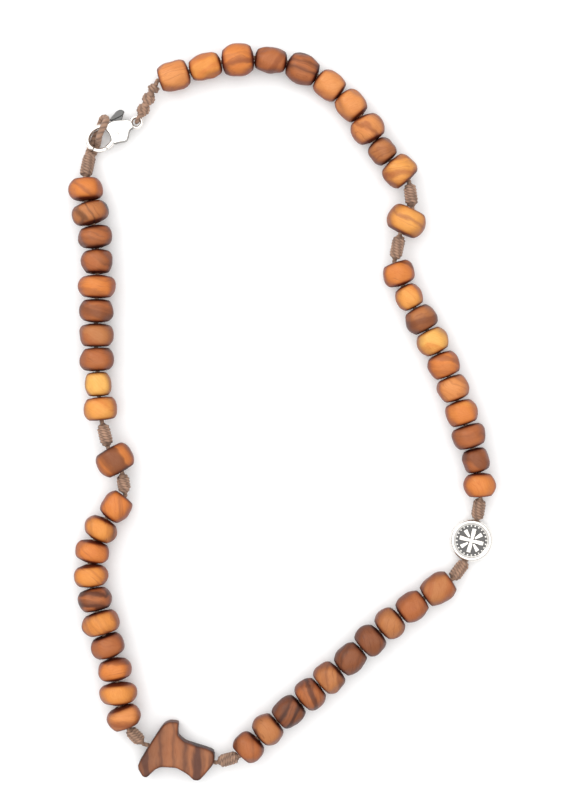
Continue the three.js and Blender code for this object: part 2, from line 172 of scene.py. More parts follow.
def clasp_place():
    """Puts the clasp's own frame, with its eye at the origin, into the rosary."""
    pivot = joint_point(joint_into("clasp_lever"))
    turn = Matrix.Rotation(CLASP_HEADING, 4, "Z")
    return Matrix.Translation(pivot - turn @ CLASP_PIVOT) @ turn


# ---------------------------------------------------------------- settings


class RosaryWood(bpy.types.PropertyGroup):
    grain_scale: bpy.props.FloatProperty(
        name="Grain scale", description="Growth bands per millimetre", default=0.42, min=0.05
    )
    contrast: bpy.props.FloatProperty(
        name="Contrast", description="Strength of the dark streaks", default=0.8, min=0.0, max=1.0,
        subtype="FACTOR",
    )
    unevenness: bpy.props.FloatProperty(
        name="Unevenness", description="How far hand turning strays from round",
        default=0.28 * MM, unit="LENGTH",
    )
    sides: bpy.props.IntProperty(name="Sides", description="Facets round a bead", default=56, min=12)


class RosaryCord(bpy.types.PropertyGroup):
    thickness: bpy.props.FloatProperty(
        name="Thickness", description="Cord diameter", default=1.0 * MM, unit="LENGTH"
    )
    wrap: bpy.props.FloatProperty(
        name="Whipping", description="Diameter of the whipped knots", default=3.1 * MM, unit="LENGTH"
    )
    colour: bpy.props.FloatVectorProperty(
        name="Colour", description="Cord colour", default=(0.30, 0.178, 0.118), size=3, subtype="COLOR"
    )


class RosaryMetal(bpy.types.PropertyGroup):
    colour: bpy.props.FloatVectorProperty(
        name="Silver", description="Polished silver", default=(0.88, 0.85, 0.81), size=3, subtype="COLOR"
    )
    # the dark tone: tarnished hollows on the medal, painted shade on the clasp's edges, and the colour of the
    # dark metal that paints shade on the lever
    dark: bpy.props.FloatVectorProperty(
        name="Tarnish", description="Darkened metal", default=(0.13, 0.127, 0.125), size=3, subtype="COLOR"
    )


class RosaryStage(bpy.types.PropertyGroup):
    view_centre: bpy.props.FloatVectorProperty(
        name="View centre", description="Point the camera looks down on",
        default=(1.33 * MM, 2.74 * MM, 4.0 * MM), size=3, subtype="TRANSLATION",
    )
    view_height: bpy.props.FloatProperty(
        name="View height", description="Length of floor seen along Y", default=186.05 * MM, unit="LENGTH"
    )
    lens: bpy.props.FloatProperty(name="Lens", description="Focal length in mm", default=100.0)
    soft_box: bpy.props.FloatProperty(
        name="Soft box", description="Power of the overhead light", default=6.8, unit="POWER"
    )
    side_box: bpy.props.FloatProperty(
        name="Side box", description="Power of the light from the top left", default=1.0, unit="POWER"
    )
    sky: bpy.props.FloatProperty(name="Sky", description="Even light from all round", default=0.8)


# ---------------------------------------------------------------- mesh making


class Form:
    """Points, faces and point values of one piece, gathered before its mesh is made."""

    def __init__(self):
        self.points = []
        self.faces = []
        self.slots = []
        self.values = {}

    def grid(self, rings, slot=0, round_way=True, long_way=False, **values):
        """Joins rings of equal count by quads. values: a name to a list of rings of numbers."""
        start = len(self.points)
        across = len(rings[0])
        for ring in rings:
            self.points.extend(ring)
        for name, table in values.items():
            kept = self.values.setdefault(name, {})
            flat = [v for row in table for v in row]
            kept.update({start + i: v for i, v in enumerate(flat)})
        rows = len(rings)
        for i in range(rows if long_way else rows - 1):
            for k in range(across if round_way else across - 1):
                a = start + i * across + k
                b = start + i * across + (k + 1) % across
                c = start + ((i + 1) % rows) * across + (k + 1) % across
                d = start + ((i + 1) % rows) * across + k
                self.faces.append((a, b, c, d))
                self.slots.append(slot)
        return start

    def cap(self, ring_start, across, slot=0, flip=False):
        """Closes a ring of points by one face."""
        face = [ring_start + k for k in range(across)]
        self.faces.append(tuple(reversed(face)) if flip else tuple(face))
        self.slots.append(slot)

    def closed(self, rings, slot=0, **values):
        """A tube of rings with a face over each end."""
        start = self.grid(rings, slot, **values)
        across = len(rings[0])
        self.cap(start, across, slot, flip=True)
        self.cap(start + (len(rings) - 1) * across, across, slot)

    def build(self, name, materials, smooth=True):
        mesh = bpy.data.meshes.new(name)
        mesh.from_pydata([tuple(p) for p in self.points], [], self.faces)
        for material in materials:
            mesh.materials.append(material)
        mesh.polygons.foreach_set("material_index", self.slots)
        mesh.polygons.foreach_set("use_smooth", [smooth] * len(self.faces))
        for key, kept in self.values.items():
            sample = next(iter(kept.values()))
            kind = "FLOAT" if isinstance(sample, (int, float)) else "FLOAT_VECTOR"
            layer = mesh.attributes.new(key, kind, "POINT")
            for i in range(len(self.points)):
                value = kept.get(i)
                if value is None:
                    continue
                if kind == "FLOAT":
                    layer.data[i].value = value
                else:
                    layer.data[i].vector = value
        if smooth:
            face_outwards(mesh)
        thing = bpy.data.objects.new(name, mesh)
        bpy.context.scene.collection.objects.link(thing)
        return thing


def dress(piece, body, cad_node, slot):
    """Parents a piece to its body and hides the CAD node that it stands for. The slot is not used."""
    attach(piece, body)
    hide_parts(cad_node)


def face_outwards(mesh):
    shape = bmesh.new()
    shape.from_mesh(mesh)
    bmesh.ops.recalc_face_normals(shape, faces=shape.faces)
    shape.to_mesh(mesh)
    shape.free()


def paint_side_shade(piece, most=0.9):
    """Marks how much painted shade the wood gets: most on its sides and underside, as it lies."""
    mesh = piece.data
    layer = mesh.attributes.new("side", "FLOAT", "POINT")
    for vertex in mesh.vertices:
        layer.data[vertex.index].value = most * (1 - soft_step(vertex.normal.z - 0.60, 0.72))


def circle(centre, side, up, radius, count):
    """Points round a centre, from side towards up."""
    angles = [2 * math.pi * k / count for k in range(count)]
    return [centre + side * radius * math.cos(a) + up * radius * math.sin(a) for a in angles]


def basis(axis):
    """Two directions square to an axis; the second leans upwards."""
    side = axis.cross(UP)
    if side.length < 1e-6:
        side = axis.cross(Vector((1, 0, 0)))
    side.normalize()
    return side, side.cross(axis).normalized()


def smooth_path(points, steps):
    """A Catmull-Rom curve through the points, with steps pieces between two of them."""
    out = []
    last = len(points) - 1
    for i in range(last):
        p0, p1 = points[max(i - 1, 0)], points[i]
        p2, p3 = points[i + 1], points[min(i + 2, last)]
        for k in range(steps):
            t = k / steps
            out.append(
                0.5
                * (
                    2 * p1
                    + (p2 - p0) * t
                    + (2 * p0 - 5 * p1 + 4 * p2 - p3) * t * t
                    + (3 * p1 - p0 - 3 * p2 + p3) * t * t * t
                )
            )
    out.append(points[-1].copy())
    return out


def tube(form, path, radius, sides=12, slot=0, ridge=0.0, pitch=1.0 * MM):
    """A cord along a path, with rounded ends. ridge makes the hump of each turn of a whipping."""
    frames = []
    side = None
    run = 0.0
    for i, point in enumerate(path):
        ahead = path[min(i + 1, len(path) - 1)] - path[max(i - 1, 0)]
        ahead.normalize()
        if side is None:
            side, _ = basis(ahead)
        side = (side - ahead * side.dot(ahead)).normalized()
        if i:
            run += (point - path[i - 1]).length
        frames.append((point, ahead, side, side.cross(ahead).normalized(), run))

    def rounded_end(frame_at, way, angles):
        point, ahead, side, up, run = frame_at
        leans = [math.radians(angle) for angle in angles]
        return [(point + ahead * way * radius * math.sin(lean), side, up, radius * math.cos(lean), run)
                for lean in leans]

    stations = rounded_end(frames[0], -1, reversed(END_ANGLES))
    for point, _, side, up, run in frames:
        hump = ridge * (abs(math.sin(math.pi * run / pitch)) - 0.6) if ridge else 0.0
        stations.append((point, side, up, radius + hump, run))
    stations += rounded_end(frames[-1], 1, END_ANGLES)
    rings = [circle(point, side, up, size, sides) for point, side, up, size, _ in stations]
    strands = [[(run / MM, k / sides, math.cos(2 * math.pi * k / sides)) for k in range(sides)]
               for *_, run in stations]
    form.closed(rings, slot, strand=strands)


def whipping(form, start, stop, radius, rng, ball=False):
    """Turns of cord wound tight round a core from start to stop; a ball is fullest in its middle."""
    axis = (stop - start).normalized()
    length = (stop - start).length
    side, up = basis(axis)
    strand = STRAND_RADIUS
    turns = max(2, round(length / (1.9 * strand)))
    steps = STEPS_A_TURN
    path = []
    lean = rng.uniform(-0.12, 0.12)
    for i in range(turns * steps + 1):
        share = i / (turns * steps)
        angle = 2 * math.pi * turns * share
        if ball:
            swell = math.sqrt(max(0.0, 1 - (2 * share - 1) ** 2)) * radius
            reach = max(swell - strand, 0.2 * MM)
        else:
            end = min(share, 1 - share) * length
            reach = radius - strand - 0.32 * MM * max(0.0, 1 - end / (0.9 * MM)) ** 2
        reach *= 1 + 0.035 * noise.noise(Vector((share * 9, rng_seed(start), 0)))
        wander = lean * reach * math.cos(angle)
        path.append(
            start + axis * (share * (length - 2 * strand) + strand + wander)
            + side * reach * math.cos(angle) + up * reach * math.sin(angle)
        )
    tube(form, path, strand, 8)
    core = radius - 1.35 * strand
    shares = (0.3, 0.4, 0.5, 0.6, 0.7) if ball else (0.12, 0.35, 0.65, 0.88)
    tube(form, [start.lerp(stop, t) for t in shares], 0.72 * core if ball else core)


def rng_seed(point):
    return (point.x * 733.1 + point.y * 517.7) % 97.0


# ---------------------------------------------------------------- shader building


def node(tree, kind, place=(0, 0), **settings):
    made = tree.nodes.new(kind)
    made.location = place
    for key, value in settings.items():
        setattr(made, key, value)
    return made


def put(made, **inputs):
    for key, value in inputs.items():
        made.inputs[key.replace("_", " ")].default_value = value
    return made


def new_group(name, inputs, outputs):
    """A shader node group with named sockets and its two end nodes."""
    group = bpy.data.node_groups.new(name, "ShaderNodeTree")
    for label, kind, default in inputs:
        socket = group.interface.new_socket(label, in_out="INPUT", socket_type=kind)
        if default is not None:
            socket.default_value = default
    for label, kind in outputs:
        group.interface.new_socket(label, in_out="OUTPUT", socket_type=kind)
    return group, node(group, "NodeGroupInput", (-1400, 0)), node(group, "NodeGroupOutput", (900, 0))


def math_node(tree, operation, a, b=None):
    made = node(tree, "ShaderNodeMath", operation=operation)
    for slot, value in enumerate((a, b)):
        if value is None:
            continue
        if isinstance(value, (int, float)):
            made.inputs[slot].default_value = value
        else:
            tree.links.new(value, made.inputs[slot])
    return made.outputs[0]


def mix_colour(tree, factor, a, b, blend="MIX"):
    made = node(tree, "ShaderNodeMix", data_type="RGBA", blend_type=blend)
    for socket, value in ((made.inputs[0], factor), (made.inputs[6], a), (made.inputs[7], b)):
        if isinstance(value, (int, float)):
            socket.default_value = value
        elif isinstance(value, tuple):
            socket.default_value = (*value, 1.0)
        else:
            tree.links.new(value, socket)
    return made.outputs[2]


def tinted(tree, colour, mask, amount, tone):
    """Darkens a colour by a tone where the mask is, by at most the amount."""
    return mix_colour(tree, math_node(tree, "MULTIPLY", mask, amount), colour, tone, "MULTIPLY")


def spread(tree, value, low, high):
    """A soft step from 0 at low to 1 at high."""
    made = node(tree, "ShaderNodeMapRange", clamp=True, interpolation_type="SMOOTHSTEP")
    tree.links.new(value, made.inputs["Value"])
    put(made, From_Min=low, From_Max=high)
    return made.outputs["Result"]


def stretched(tree, vector, scale):
    made = node(tree, "ShaderNodeVectorMath", operation="MULTIPLY")
    tree.links.new(vector, made.inputs[0])
    made.inputs[1].default_value = scale
    return made.outputs[0]


def noise_of(tree, vector, scale, detail=2.0, roughness=0.5):
    made = node(tree, "ShaderNodeTexNoise")
    tree.links.new(vector, made.inputs["Vector"])
    put(made, Scale=scale, Detail=detail, Roughness=roughness)
    return made.outputs["Fac"]


def olive_grain():
    """Olive wood: wavy growth bands between two tones, thin dark lines, fibres and pores.
    The vector is in millimetres, with the fibres along its x."""
    name = "Olive grain"
    if name in bpy.data.node_groups:
        return bpy.data.node_groups[name]
    group, enter, leave = new_group(
        name,
        [
            ("Vector", "NodeSocketVector", None),
            ("Light", "NodeSocketColor", (0.8, 0.5, 0.25, 1)),
            ("Dark", "NodeSocketColor", (0.3, 0.13, 0.06, 1)),
            ("Dark share", "NodeSocketFloat", 0.4),
            ("Band scale", "NodeSocketFloat", 0.42),
            ("Contrast", "NodeSocketFloat", 0.6),
            ("End grain and shade", "NodeSocketFloat", 0.0),
            ("Side", "NodeSocketFloat", 0.0),
        ],
        [("Color", "NodeSocketColor"), ("Roughness", "NodeSocketFloat"), ("Height", "NodeSocketFloat")],
    )
    link = group.links.new
    vector = enter.outputs["Vector"]
    # wander of the bands
    warp = node(group, "ShaderNodeTexNoise")
    link(stretched(group, vector, (0.09, 0.22, 0.22)), warp.inputs["Vector"])
    put(warp, Scale=1.0, Detail=3.0, Roughness=0.55)
    bend = node(group, "ShaderNodeVectorMath", operation="MULTIPLY_ADD")
    link(warp.outputs["Color"], bend.inputs[0])
    bend.inputs[1].default_value = (4.5, 4.5, 4.5)
    link(vector, bend.inputs[2])
    split = node(group, "ShaderNodeSeparateXYZ")
    link(bend.outputs[0], split.inputs[0])
    across = math_node(group, "MULTIPLY", split.outputs["Y"], enter.outputs["Band scale"])
    # broad bands, as a noise that only changes across the bands
    line = node(group, "ShaderNodeCombineXYZ")
    link(across, line.inputs["Y"])
    link(math_node(group, "MULTIPLY", split.outputs["Z"], 0.06), line.inputs["Z"])
    broad = noise_of(group, line.outputs[0], 1.0, 1.0, 0.4)
    edge = math_node(group, "SUBTRACT", 0.80, math_node(group, "MULTIPLY", enter.outputs["Dark share"], 0.6))
    over = math_node(group, "SUBTRACT", broad, edge)
    broad_mask = spread(group, over, -0.10, 0.12)
    # thin dark growth lines inside them
    thin = noise_of(group, line.outputs[0], 4.2, 2.0, 0.6)
    thin_mask = spread(group, thin, 0.56, 0.70)
    hair = noise_of(group, line.outputs[0], 13.0, 2.0, 0.7)
    hair_mask = spread(group, hair, 0.50, 0.72)
    # short fibres and pores along x
    fibre = noise_of(group, stretched(group, vector, (0.7, 5.5, 5.5)), 1.0, 3.0, 0.65)
    fibre_mask = spread(group, fibre, 0.42, 0.62)
    cloud = noise_of(group, stretched(group, vector, (0.16, 0.26, 0.26)), 1.0, 2.0, 0.5)
    base = mix_colour(group, broad_mask, enter.outputs["Light"], enter.outputs["Dark"])
    lines = math_node(group, "MULTIPLY", thin_mask, enter.outputs["Contrast"])
    base = mix_colour(group, math_node(group, "MULTIPLY", lines, 0.55), base, enter.outputs["Dark"])
    hairs = math_node(group, "MULTIPLY", hair_mask, enter.outputs["Contrast"])
    base = tinted(group, base, hairs, 0.5, (0.80, 0.60, 0.46))
    base = tinted(group, base, fibre_mask, 0.35, (0.86, 0.74, 0.64))
    warm = spread(group, cloud, 0.35, 0.65)
    base = tinted(group, base, warm, 0.30, (0.95, 0.78, 0.66))
    # darker end grain; towards the bead ends and the cross's outline this also stands for painted shade
    # between parts
    ends = math_node(group, "MULTIPLY", enter.outputs["End grain and shade"], 0.9)
    base = mix_colour(group, ends, base, (0.36, 0.17, 0.10), "MULTIPLY")
    # painted shade: darker on the sides and underside, where the overhead light falls off
    base = mix_colour(group, enter.outputs["Side"], base, (0.28, 0.13, 0.08), "MULTIPLY")
    link(base, leave.inputs["Color"])
    rough = math_node(group, "ADD", 0.36, math_node(group, "MULTIPLY", fibre_mask, 0.10))
    rough = math_node(group, "ADD", rough, math_node(group, "MULTIPLY", enter.outputs["End grain and shade"], 0.2))
    link(rough, leave.inputs["Roughness"])
    pores = spread(group, fibre, 0.58, 0.72)
    height = math_node(group, "SUBTRACT", math_node(group, "MULTIPLY", cloud, 0.6), pores)
    height = math_node(group, "SUBTRACT", height, math_node(group, "MULTIPLY", hair_mask, 0.25))
    link(height, leave.inputs["Height"])
    return group


def bumped(tree, height, strength, distance):
    made = node(tree, "ShaderNodeBump")
    put(made, Strength=strength, Distance=distance)
    tree.links.new(height, made.inputs["Height"])
    return made.outputs["Normal"]


def attribute(tree, name, output="Vector"):
    return node(tree, "ShaderNodeAttribute", attribute_name=name).outputs[output]


def wood_material(name, light=None, dark=None, share=None):
    """Smooth olive wood. Beads carry their own tones; the cross is given fixed ones."""
    settings = bpy.context.scene.rosary_wood
    material = bpy.data.materials.new(name)
    material.use_nodes = True
    tree = material.node_tree
    shader = tree.nodes["Principled BSDF"]
    grain = node(tree, "ShaderNodeGroup", node_tree=olive_grain())
    link = tree.links.new
    link(attribute(tree, "grain"), grain.inputs["Vector"])
    # end grain darkening, partly painted shade between parts; the side value is painted shade on the sides
    # and underside
    link(attribute(tree, "end_grain", "Fac"), grain.inputs["End grain and shade"])
    link(attribute(tree, "side", "Fac"), grain.inputs["Side"])
    put(grain, Band_scale=settings.grain_scale, Contrast=settings.contrast)
    if light:
        put(grain, Light=(*light, 1), Dark=(*dark, 1), Dark_share=share)
    else:
        link(attribute(tree, "tone_light"), grain.inputs["Light"])
        link(attribute(tree, "tone_dark"), grain.inputs["Dark"])
        link(attribute(tree, "dark_share", "Fac"), grain.inputs["Dark share"])
    link(grain.outputs["Color"], shader.inputs["Base Color"])
    link(grain.outputs["Roughness"], shader.inputs["Roughness"])
    link(bumped(tree, grain.outputs["Height"], 0.35, 0.06 * MM), shader.inputs["Normal"])
    shader.inputs["Specular IOR Level"].default_value = 0.28
    shader.inputs["Coat Weight"].default_value = 0.06
    shader.inputs["Coat Roughness"].default_value = 0.35
    return material


def cord_material():
    """Waxed twisted cord: two plies spiralling round, with fibres, and painted shade in the grooves between
    them.
    """
    settings = bpy.context.scene.rosary_cord
    material = bpy.data.materials.new("Waxed cord")
    material.use_nodes = True
    tree = material.node_tree
    shader = tree.nodes["Principled BSDF"]
    strand = attribute(tree, "strand")
    split = node(tree, "ShaderNodeSeparateXYZ")
    tree.links.new(strand, split.inputs[0])
    spin = math_node(tree, "MULTIPLY", split.outputs["Y"], 2 * math.pi)
    along = math_node(tree, "MULTIPLY", split.outputs["X"], 5.2)
    ply = math_node(tree, "SINE", math_node(tree, "ADD", math_node(tree, "MULTIPLY", spin, 2.0), along))
    ply = math_node(tree, "ADD", math_node(tree, "MULTIPLY", ply, 0.5), 0.5)
    place = node(tree, "ShaderNodeTexCoord").outputs["Object"]
    patch = noise_of(tree, place, 420.0, 3.0, 0.6)
    fuzz = noise_of(tree, place, 5200.0, 2.0, 0.7)
    base = tuple(settings.colour)
    pale = tuple(min(1.0, c * 1.45) for c in base)
    deep = tuple(c * 0.42 for c in base)
    colour = mix_colour(tree, spread(tree, patch, 0.35, 0.68), base, pale)
    groove = math_node(tree, "POWER", math_node(tree, "SUBTRACT", 1.0, ply), 2.0)
    # painted shade in the grooves between the plies
    colour = mix_colour(tree, math_node(tree, "MULTIPLY", groove, 0.75), colour, deep)
    colour = tinted(tree, colour, fuzz, 0.5, (0.72, 0.66, 0.62))
    tree.links.new(colour, shader.inputs["Base Color"])
    crown = math_node(tree, "SUBTRACT", 1.0, groove)
    height = math_node(tree, "ADD", crown, math_node(tree, "MULTIPLY", fuzz, 0.4))
    tree.links.new(bumped(tree, height, 0.6, 0.10 * MM), shader.inputs["Normal"])
    shader.inputs["Roughness"].default_value = 0.68
    shader.inputs["Sheen Weight"].default_value = 0.15
    shader.inputs["Sheen Roughness"].default_value = 0.5
    return material


def metal_wear():
    """Hairline scratches, small dents, and one dark mask that gives tarnished hollows and painted shade on
    the clasp's edges and sides.
    """
    name = "Metal wear"
    if name in bpy.data.node_groups:
        return bpy.data.node_groups[name]
    group, enter, leave = new_group(
        name,
        [
            ("Clean", "NodeSocketColor", (0.9, 0.9, 0.88, 1)),
            ("Tarnish", "NodeSocketColor", (0.2, 0.2, 0.2, 1)),
            ("Tarnish_and_shade_amount", "NodeSocketFloat", 0.0),
            ("Wear", "NodeSocketFloat", 0.5),
        ],
        [("Color", "NodeSocketColor"), ("Roughness", "NodeSocketFloat"), ("Height", "NodeSocketFloat")],
    )
    link = group.links.new
    place = node(group, "ShaderNodeTexCoord").outputs["Object"]
    blotch = noise_of(group, place, 900.0, 3.0, 0.6)
    scratch = noise_of(group, stretched(group, place, (9000.0, 600.0, 900.0)), 1.0, 2.0, 0.6)
    scratches = spread(group, scratch, 0.60, 0.72)
    # the dark mask: tarnished hollows on the medal, painted shade on the clasp's edges and ring sides
    depth = math_node(group, "ADD", enter.outputs["Tarnish_and_shade_amount"], math_node(group, "MULTIPLY", blotch, 0.35))
    tarnish_and_shade_mask = spread(group, depth, 0.30, 0.95)
    colour = mix_colour(group, tarnish_and_shade_mask, enter.outputs["Clean"], enter.outputs["Tarnish"])
    stain = math_node(group, "MULTIPLY", spread(group, blotch, 0.5, 0.75), enter.outputs["Wear"])
    colour = tinted(group, colour, stain, 0.35, (0.78, 0.72, 0.64))
    link(colour, leave.inputs["Color"])
    rough = math_node(group, "ADD", 0.20, math_node(group, "MULTIPLY", tarnish_and_shade_mask, 0.28))
    rough = math_node(group, "ADD", rough, math_node(group, "MULTIPLY", stain, 0.18))
    rough = math_node(group, "ADD", rough, math_node(group, "MULTIPLY", scratches, 0.12))
    link(rough, leave.inputs["Roughness"])
    height = math_node(group, "SUBTRACT", math_node(group, "MULTIPLY", blotch, 0.4), scratches)
    link(height, leave.inputs["Height"])
    return group


def metal_material(name, clean, tarnish_and_shade_tone, wear):
    material = bpy.data.materials.new(name)
    material.use_nodes = True
    tree = material.node_tree
    shader = tree.nodes["Principled BSDF"]
    shader.inputs["Metallic"].default_value = 1.0
    made = node(tree, "ShaderNodeGroup", node_tree=metal_wear())
    put(made, Clean=(*clean, 1), Tarnish=(*tarnish_and_shade_tone, 1), Wear=wear)
    tree.links.new(attribute(tree, "hollow", "Fac"), made.inputs["Tarnish_and_shade_amount"])
    tree.links.new(made.outputs["Color"], shader.inputs["Base Color"])
    tree.links.new(made.outputs["Roughness"], shader.inputs["Roughness"])
    tree.links.new(bumped(tree, made.outputs["Height"], 0.12, 0.02 * MM), shader.inputs["Normal"])
    return material


def material_of(name, make):
    return bpy.data.materials.get(name) or make()


def cord_finish():
    return material_of("Waxed cord", cord_material)


def silver_finish():
    settings = bpy.context.scene.rosary_metal
    return material_of(
        "Polished silver",
        lambda: metal_material("Polished silver", settings.colour[:], settings.dark[:], 0.5),
    )


# ---------------------------------------------------------------- stage


class ROSARY_OT_stage(bpy.types.Operator):
    """Make the camera, the floor and the lights"""

    bl_idname = "rosary.stage"
    bl_label = "Stage"

    def execute(self, context):
        settings = context.scene.rosary_stage
        self.camera(context, settings)
        self.floor()
        self.lights(context, settings)
        return {"FINISHED"}

    def camera(self, context, settings):
        data = bpy.data.cameras.new("Camera")
        data.lens = settings.lens
        data.sensor_width = 36.0
        data.clip_start = 0.01
        data.clip_end = 20.0
        distance = settings.view_height / 2 / (data.sensor_width / 2 / data.lens)
        camera = bpy.data.objects.new("Camera", data)
        camera.location = Vector(settings.view_centre) + UP * distance
        context.scene.collection.objects.link(camera)
        context.scene.camera = camera

    def floor(self):
        form = Form()
        ends = (-FLOOR_REACH, FLOOR_REACH)
        form.grid([[Vector((x, y, -FLOOR_DROP)) for x in ends] for y in ends], round_way=False)
        material = bpy.data.materials.new("Pale floor")
        material.use_nodes = True
        tree = material.node_tree
        shader = tree.nodes["Principled BSDF"]
        place = node(tree, "ShaderNodeTexCoord").outputs["Object"]
        tooth = noise_of(tree, place, 900.0, 3.0, 0.6)
        colour = mix_colour(tree, tooth, (0.93, 0.93, 0.93), (0.96, 0.96, 0.96))
        tree.links.new(colour, shader.inputs["Base Color"])
        shader.inputs["Roughness"].default_value = 0.9
        shader.inputs["Specular IOR Level"].default_value = 0.1
        floor = form.build("floor", [material], smooth=False)

    def lights(self, context, settings):
        self.area("Soft box", settings.soft_box, 1.4, Vector((-0.03, 0.06, 0.8)), Vector((0, 0, 0)))
        self.area("Side box", settings.side_box, 0.30, Vector((-0.45, 0.45, 0.45)), Vector((0, 0, 0)))
        world = context.scene.world or bpy.data.worlds.new("World")
        context.scene.world = world
        world.use_nodes = True
        sky = world.node_tree.nodes["Background"]
        sky.inputs["Color"].default_value = (1.0, 1.0, 1.0, 1)
        sky.inputs["Strength"].default_value = settings.sky
        context.scene.view_settings.view_transform = "Standard"

    def area(self, name, power, size, place, target):
        data = bpy.data.lights.new(name, "AREA")
        data.energy = power
        data.size = size
        light = bpy.data.objects.new(name, data)
        light.location = place
        light.rotation_mode = "QUATERNION"
        light.rotation_quaternion = (target - place).to_track_quat("-Z", "Y")
        bpy.context.scene.collection.objects.link(light)


# ---------------------------------------------------------------- cord and knots


def knot_lines():
    """For each body that carries knots: its cord's points in order, and its whippings."""
    lines = {}
    for body in ("tau_cross", "medal", "pater_bead_1", "pater_bead_2"):
        ends = [joint_point(j) for j in joints_of(body)]
        if body == "tau_cross":
            foot, bar = sorted(bore_of(body), key=lambda p: -p.x)
            along = (bar - foot).normalized()
            stops = [foot - along * TAU_FOOT_PLAY, bar + along * TAU_BAR_PLAY]
        elif body == "medal":
            one, other = bore_of(body)
            along = (other - one).normalized()
            stops = [one - along * BEAD_PLAY / 2, other + along * BEAD_PLAY / 2]
        else:
            stops = [BEADS[body].stop(-1), BEADS[body].stop(1)]
        near = min(ends, key=lambda p: (p - stops[0]).length)
        far = min(ends, key=lambda p: (p - stops[1]).length)
        lines[body] = (near, stops[0], stops[1], far)
    return lines


class ROSARY_OT_cord(bpy.types.Operator):
    """Make the cord between the pieces, its whipped knots and its two end loops"""

    bl_idname = "rosary.cord"
    bl_label = "Cord and knots"

    # bare cord left at each end of a whipping, knot side then piece side
    MARGINS = {
        "tau_cross": (0.5, 0.7),
        "medal": (0.35, 0.2),
        "pater_bead_1": (0.75, 0.6),
        "pater_bead_2": (0.85, 0.6),
    }

    # shares of the tail where a knot starts and stops, its own radius, and whether it's a ball
    TAIL_KNOTS = [(0.02, 0.31, None, False), (0.34, 0.62, None, False), (0.62, 0.92, 1.45 * MM, True)]

    def execute(self, context):
        settings = context.scene.rosary_cord
        self.radius = settings.thickness / 2
        self.wrap = settings.wrap / 2
        self.rng = random.Random(41)
        for body, (near, first, second, far) in knot_lines().items():
            form = Form()
            tube(form, [near, first, second, far], self.radius)
            outer, inner = self.MARGINS[body]
            for end, stop in ((near, first), (far, second)):
                along = (stop - end).normalized()
                whipping(form, end + along * outer * MM, stop - along * inner * MM, self.wrap, self.rng)
            self.finish_piece(form, f"knots_at_{body}", body)
        self.tail()
        self.loop()
        return {"FINISHED"}

    def finish_piece(self, form, name, body):
        dress(form.build(name, [cord_finish()]), body, "cord", "cord")

    def tail(self):
        """The clasp's cord: a small ball knot, two whippings and a loop through the eye."""
        place = clasp_place()
        eye = place.translation
        start = joint_point(next(j for j in joints_of("clasp") if j["child"] == "clasp"))
        stop = eye - EYE_FROM_KNOT
        form = Form()
        tube(form, [start, start.lerp(stop, 0.5), stop], self.radius)
        for first, last, radius, ball in self.TAIL_KNOTS:
            radius = radius or self.wrap
            whipping(form, stop.lerp(start, first), stop.lerp(start, last), radius, self.rng, ball)
        out = (stop - eye).normalized()
        over = 1.25 * MM
        profile = [(3.2, 0.5), (2.3, 0.9), (1.3, 1.0), (0.45, 0.8), (0.05, 0.0), (0.45, -0.8), (1.3, -1.0),
                   (2.3, -0.9), (3.2, -0.1)]
        points = [eye + out * reach * MM + UP * rise * over for reach, rise in profile]
        tube(form, smooth_path(points, 6), 0.9 * self.radius)
        self.finish_piece(form, "tail_knots", "clasp")

    def loop(self):
        """The last knot and the loop that the clasp's hook holds."""
        bead = BEADS["ave_bead_5_10"]
        start = bead.stop(1)
        stop = LOOP_KNOT_END
        form = Form()
        tube(form, [bead.stop(-1), start, start.lerp(stop, 0.5), stop], self.radius)
        along = (stop - start).normalized()
        whipping(form, start + along * 0.4 * MM, stop - along * 0.2 * MM, self.wrap, self.rng)
        far = clasp_place() @ Vector((6.4 * MM, -3.9 * MM, 0))
        out = Vector((far.x - stop.x, far.y - stop.y, 0)).normalized()
        side = Vector((-out.y, out.x, 0))
        over = [(0.6, 0.8), (2.6, 0.75), (3.4, 1.8), (3.9, 3.2), (4.7, 4.2), (7.6, 4.2), (8.7, 3.3)]
        under = [(8.7, 1.3), (7.6, 0.75), (2.6, 0.75), (0.6, 0.8)]

        def place(reach, rise, aside):
            return Vector((stop.x, stop.y, rise * MM)) + out * reach * MM + side * aside * MM

        points = [place(-1.2, 1.55, -0.3)]
        points += [place(reach, rise, -0.66) for reach, rise in over]
        points += [place(9.1, 2.3, 0.0)]
        points += [place(reach, rise, 0.66) for reach, rise in under]
        points += [place(-1.2, 1.55, 0.3)]
        tube(form, smooth_path(points, 10), 0.70 * MM, ridge=0.10 * MM, pitch=0.75 * MM)
        self.finish_piece(form, "end_loop", "ave_bead_5_10")


# ---------------------------------------------------------------- beads

# Wood tones, light to dark.
TONES = {
    "straw": (0.93, 0.56, 0.17),
    "gold": (0.86, 0.42, 0.115),
    "amber": (0.80, 0.34, 0.085),
    "peach": (0.78, 0.34, 0.125),
    "orange": (0.74, 0.27, 0.07),
    "tan": (0.53, 0.225, 0.09),
    "clay": (0.47, 0.165, 0.06),
    "rust": (0.36, 0.115, 0.04),
    "brown": (0.27, 0.095, 0.04),
    "dark": (0.14, 0.045, 0.022),
    "umber": (0.075, 0.026, 0.016),
}
WARMTH = (0.85, 0.77, 0.62)  # red, green and blue kept of every tone


def warmed(tone):
    return tuple(share * part for share, part in zip(WARMTH, TONES[tone]))


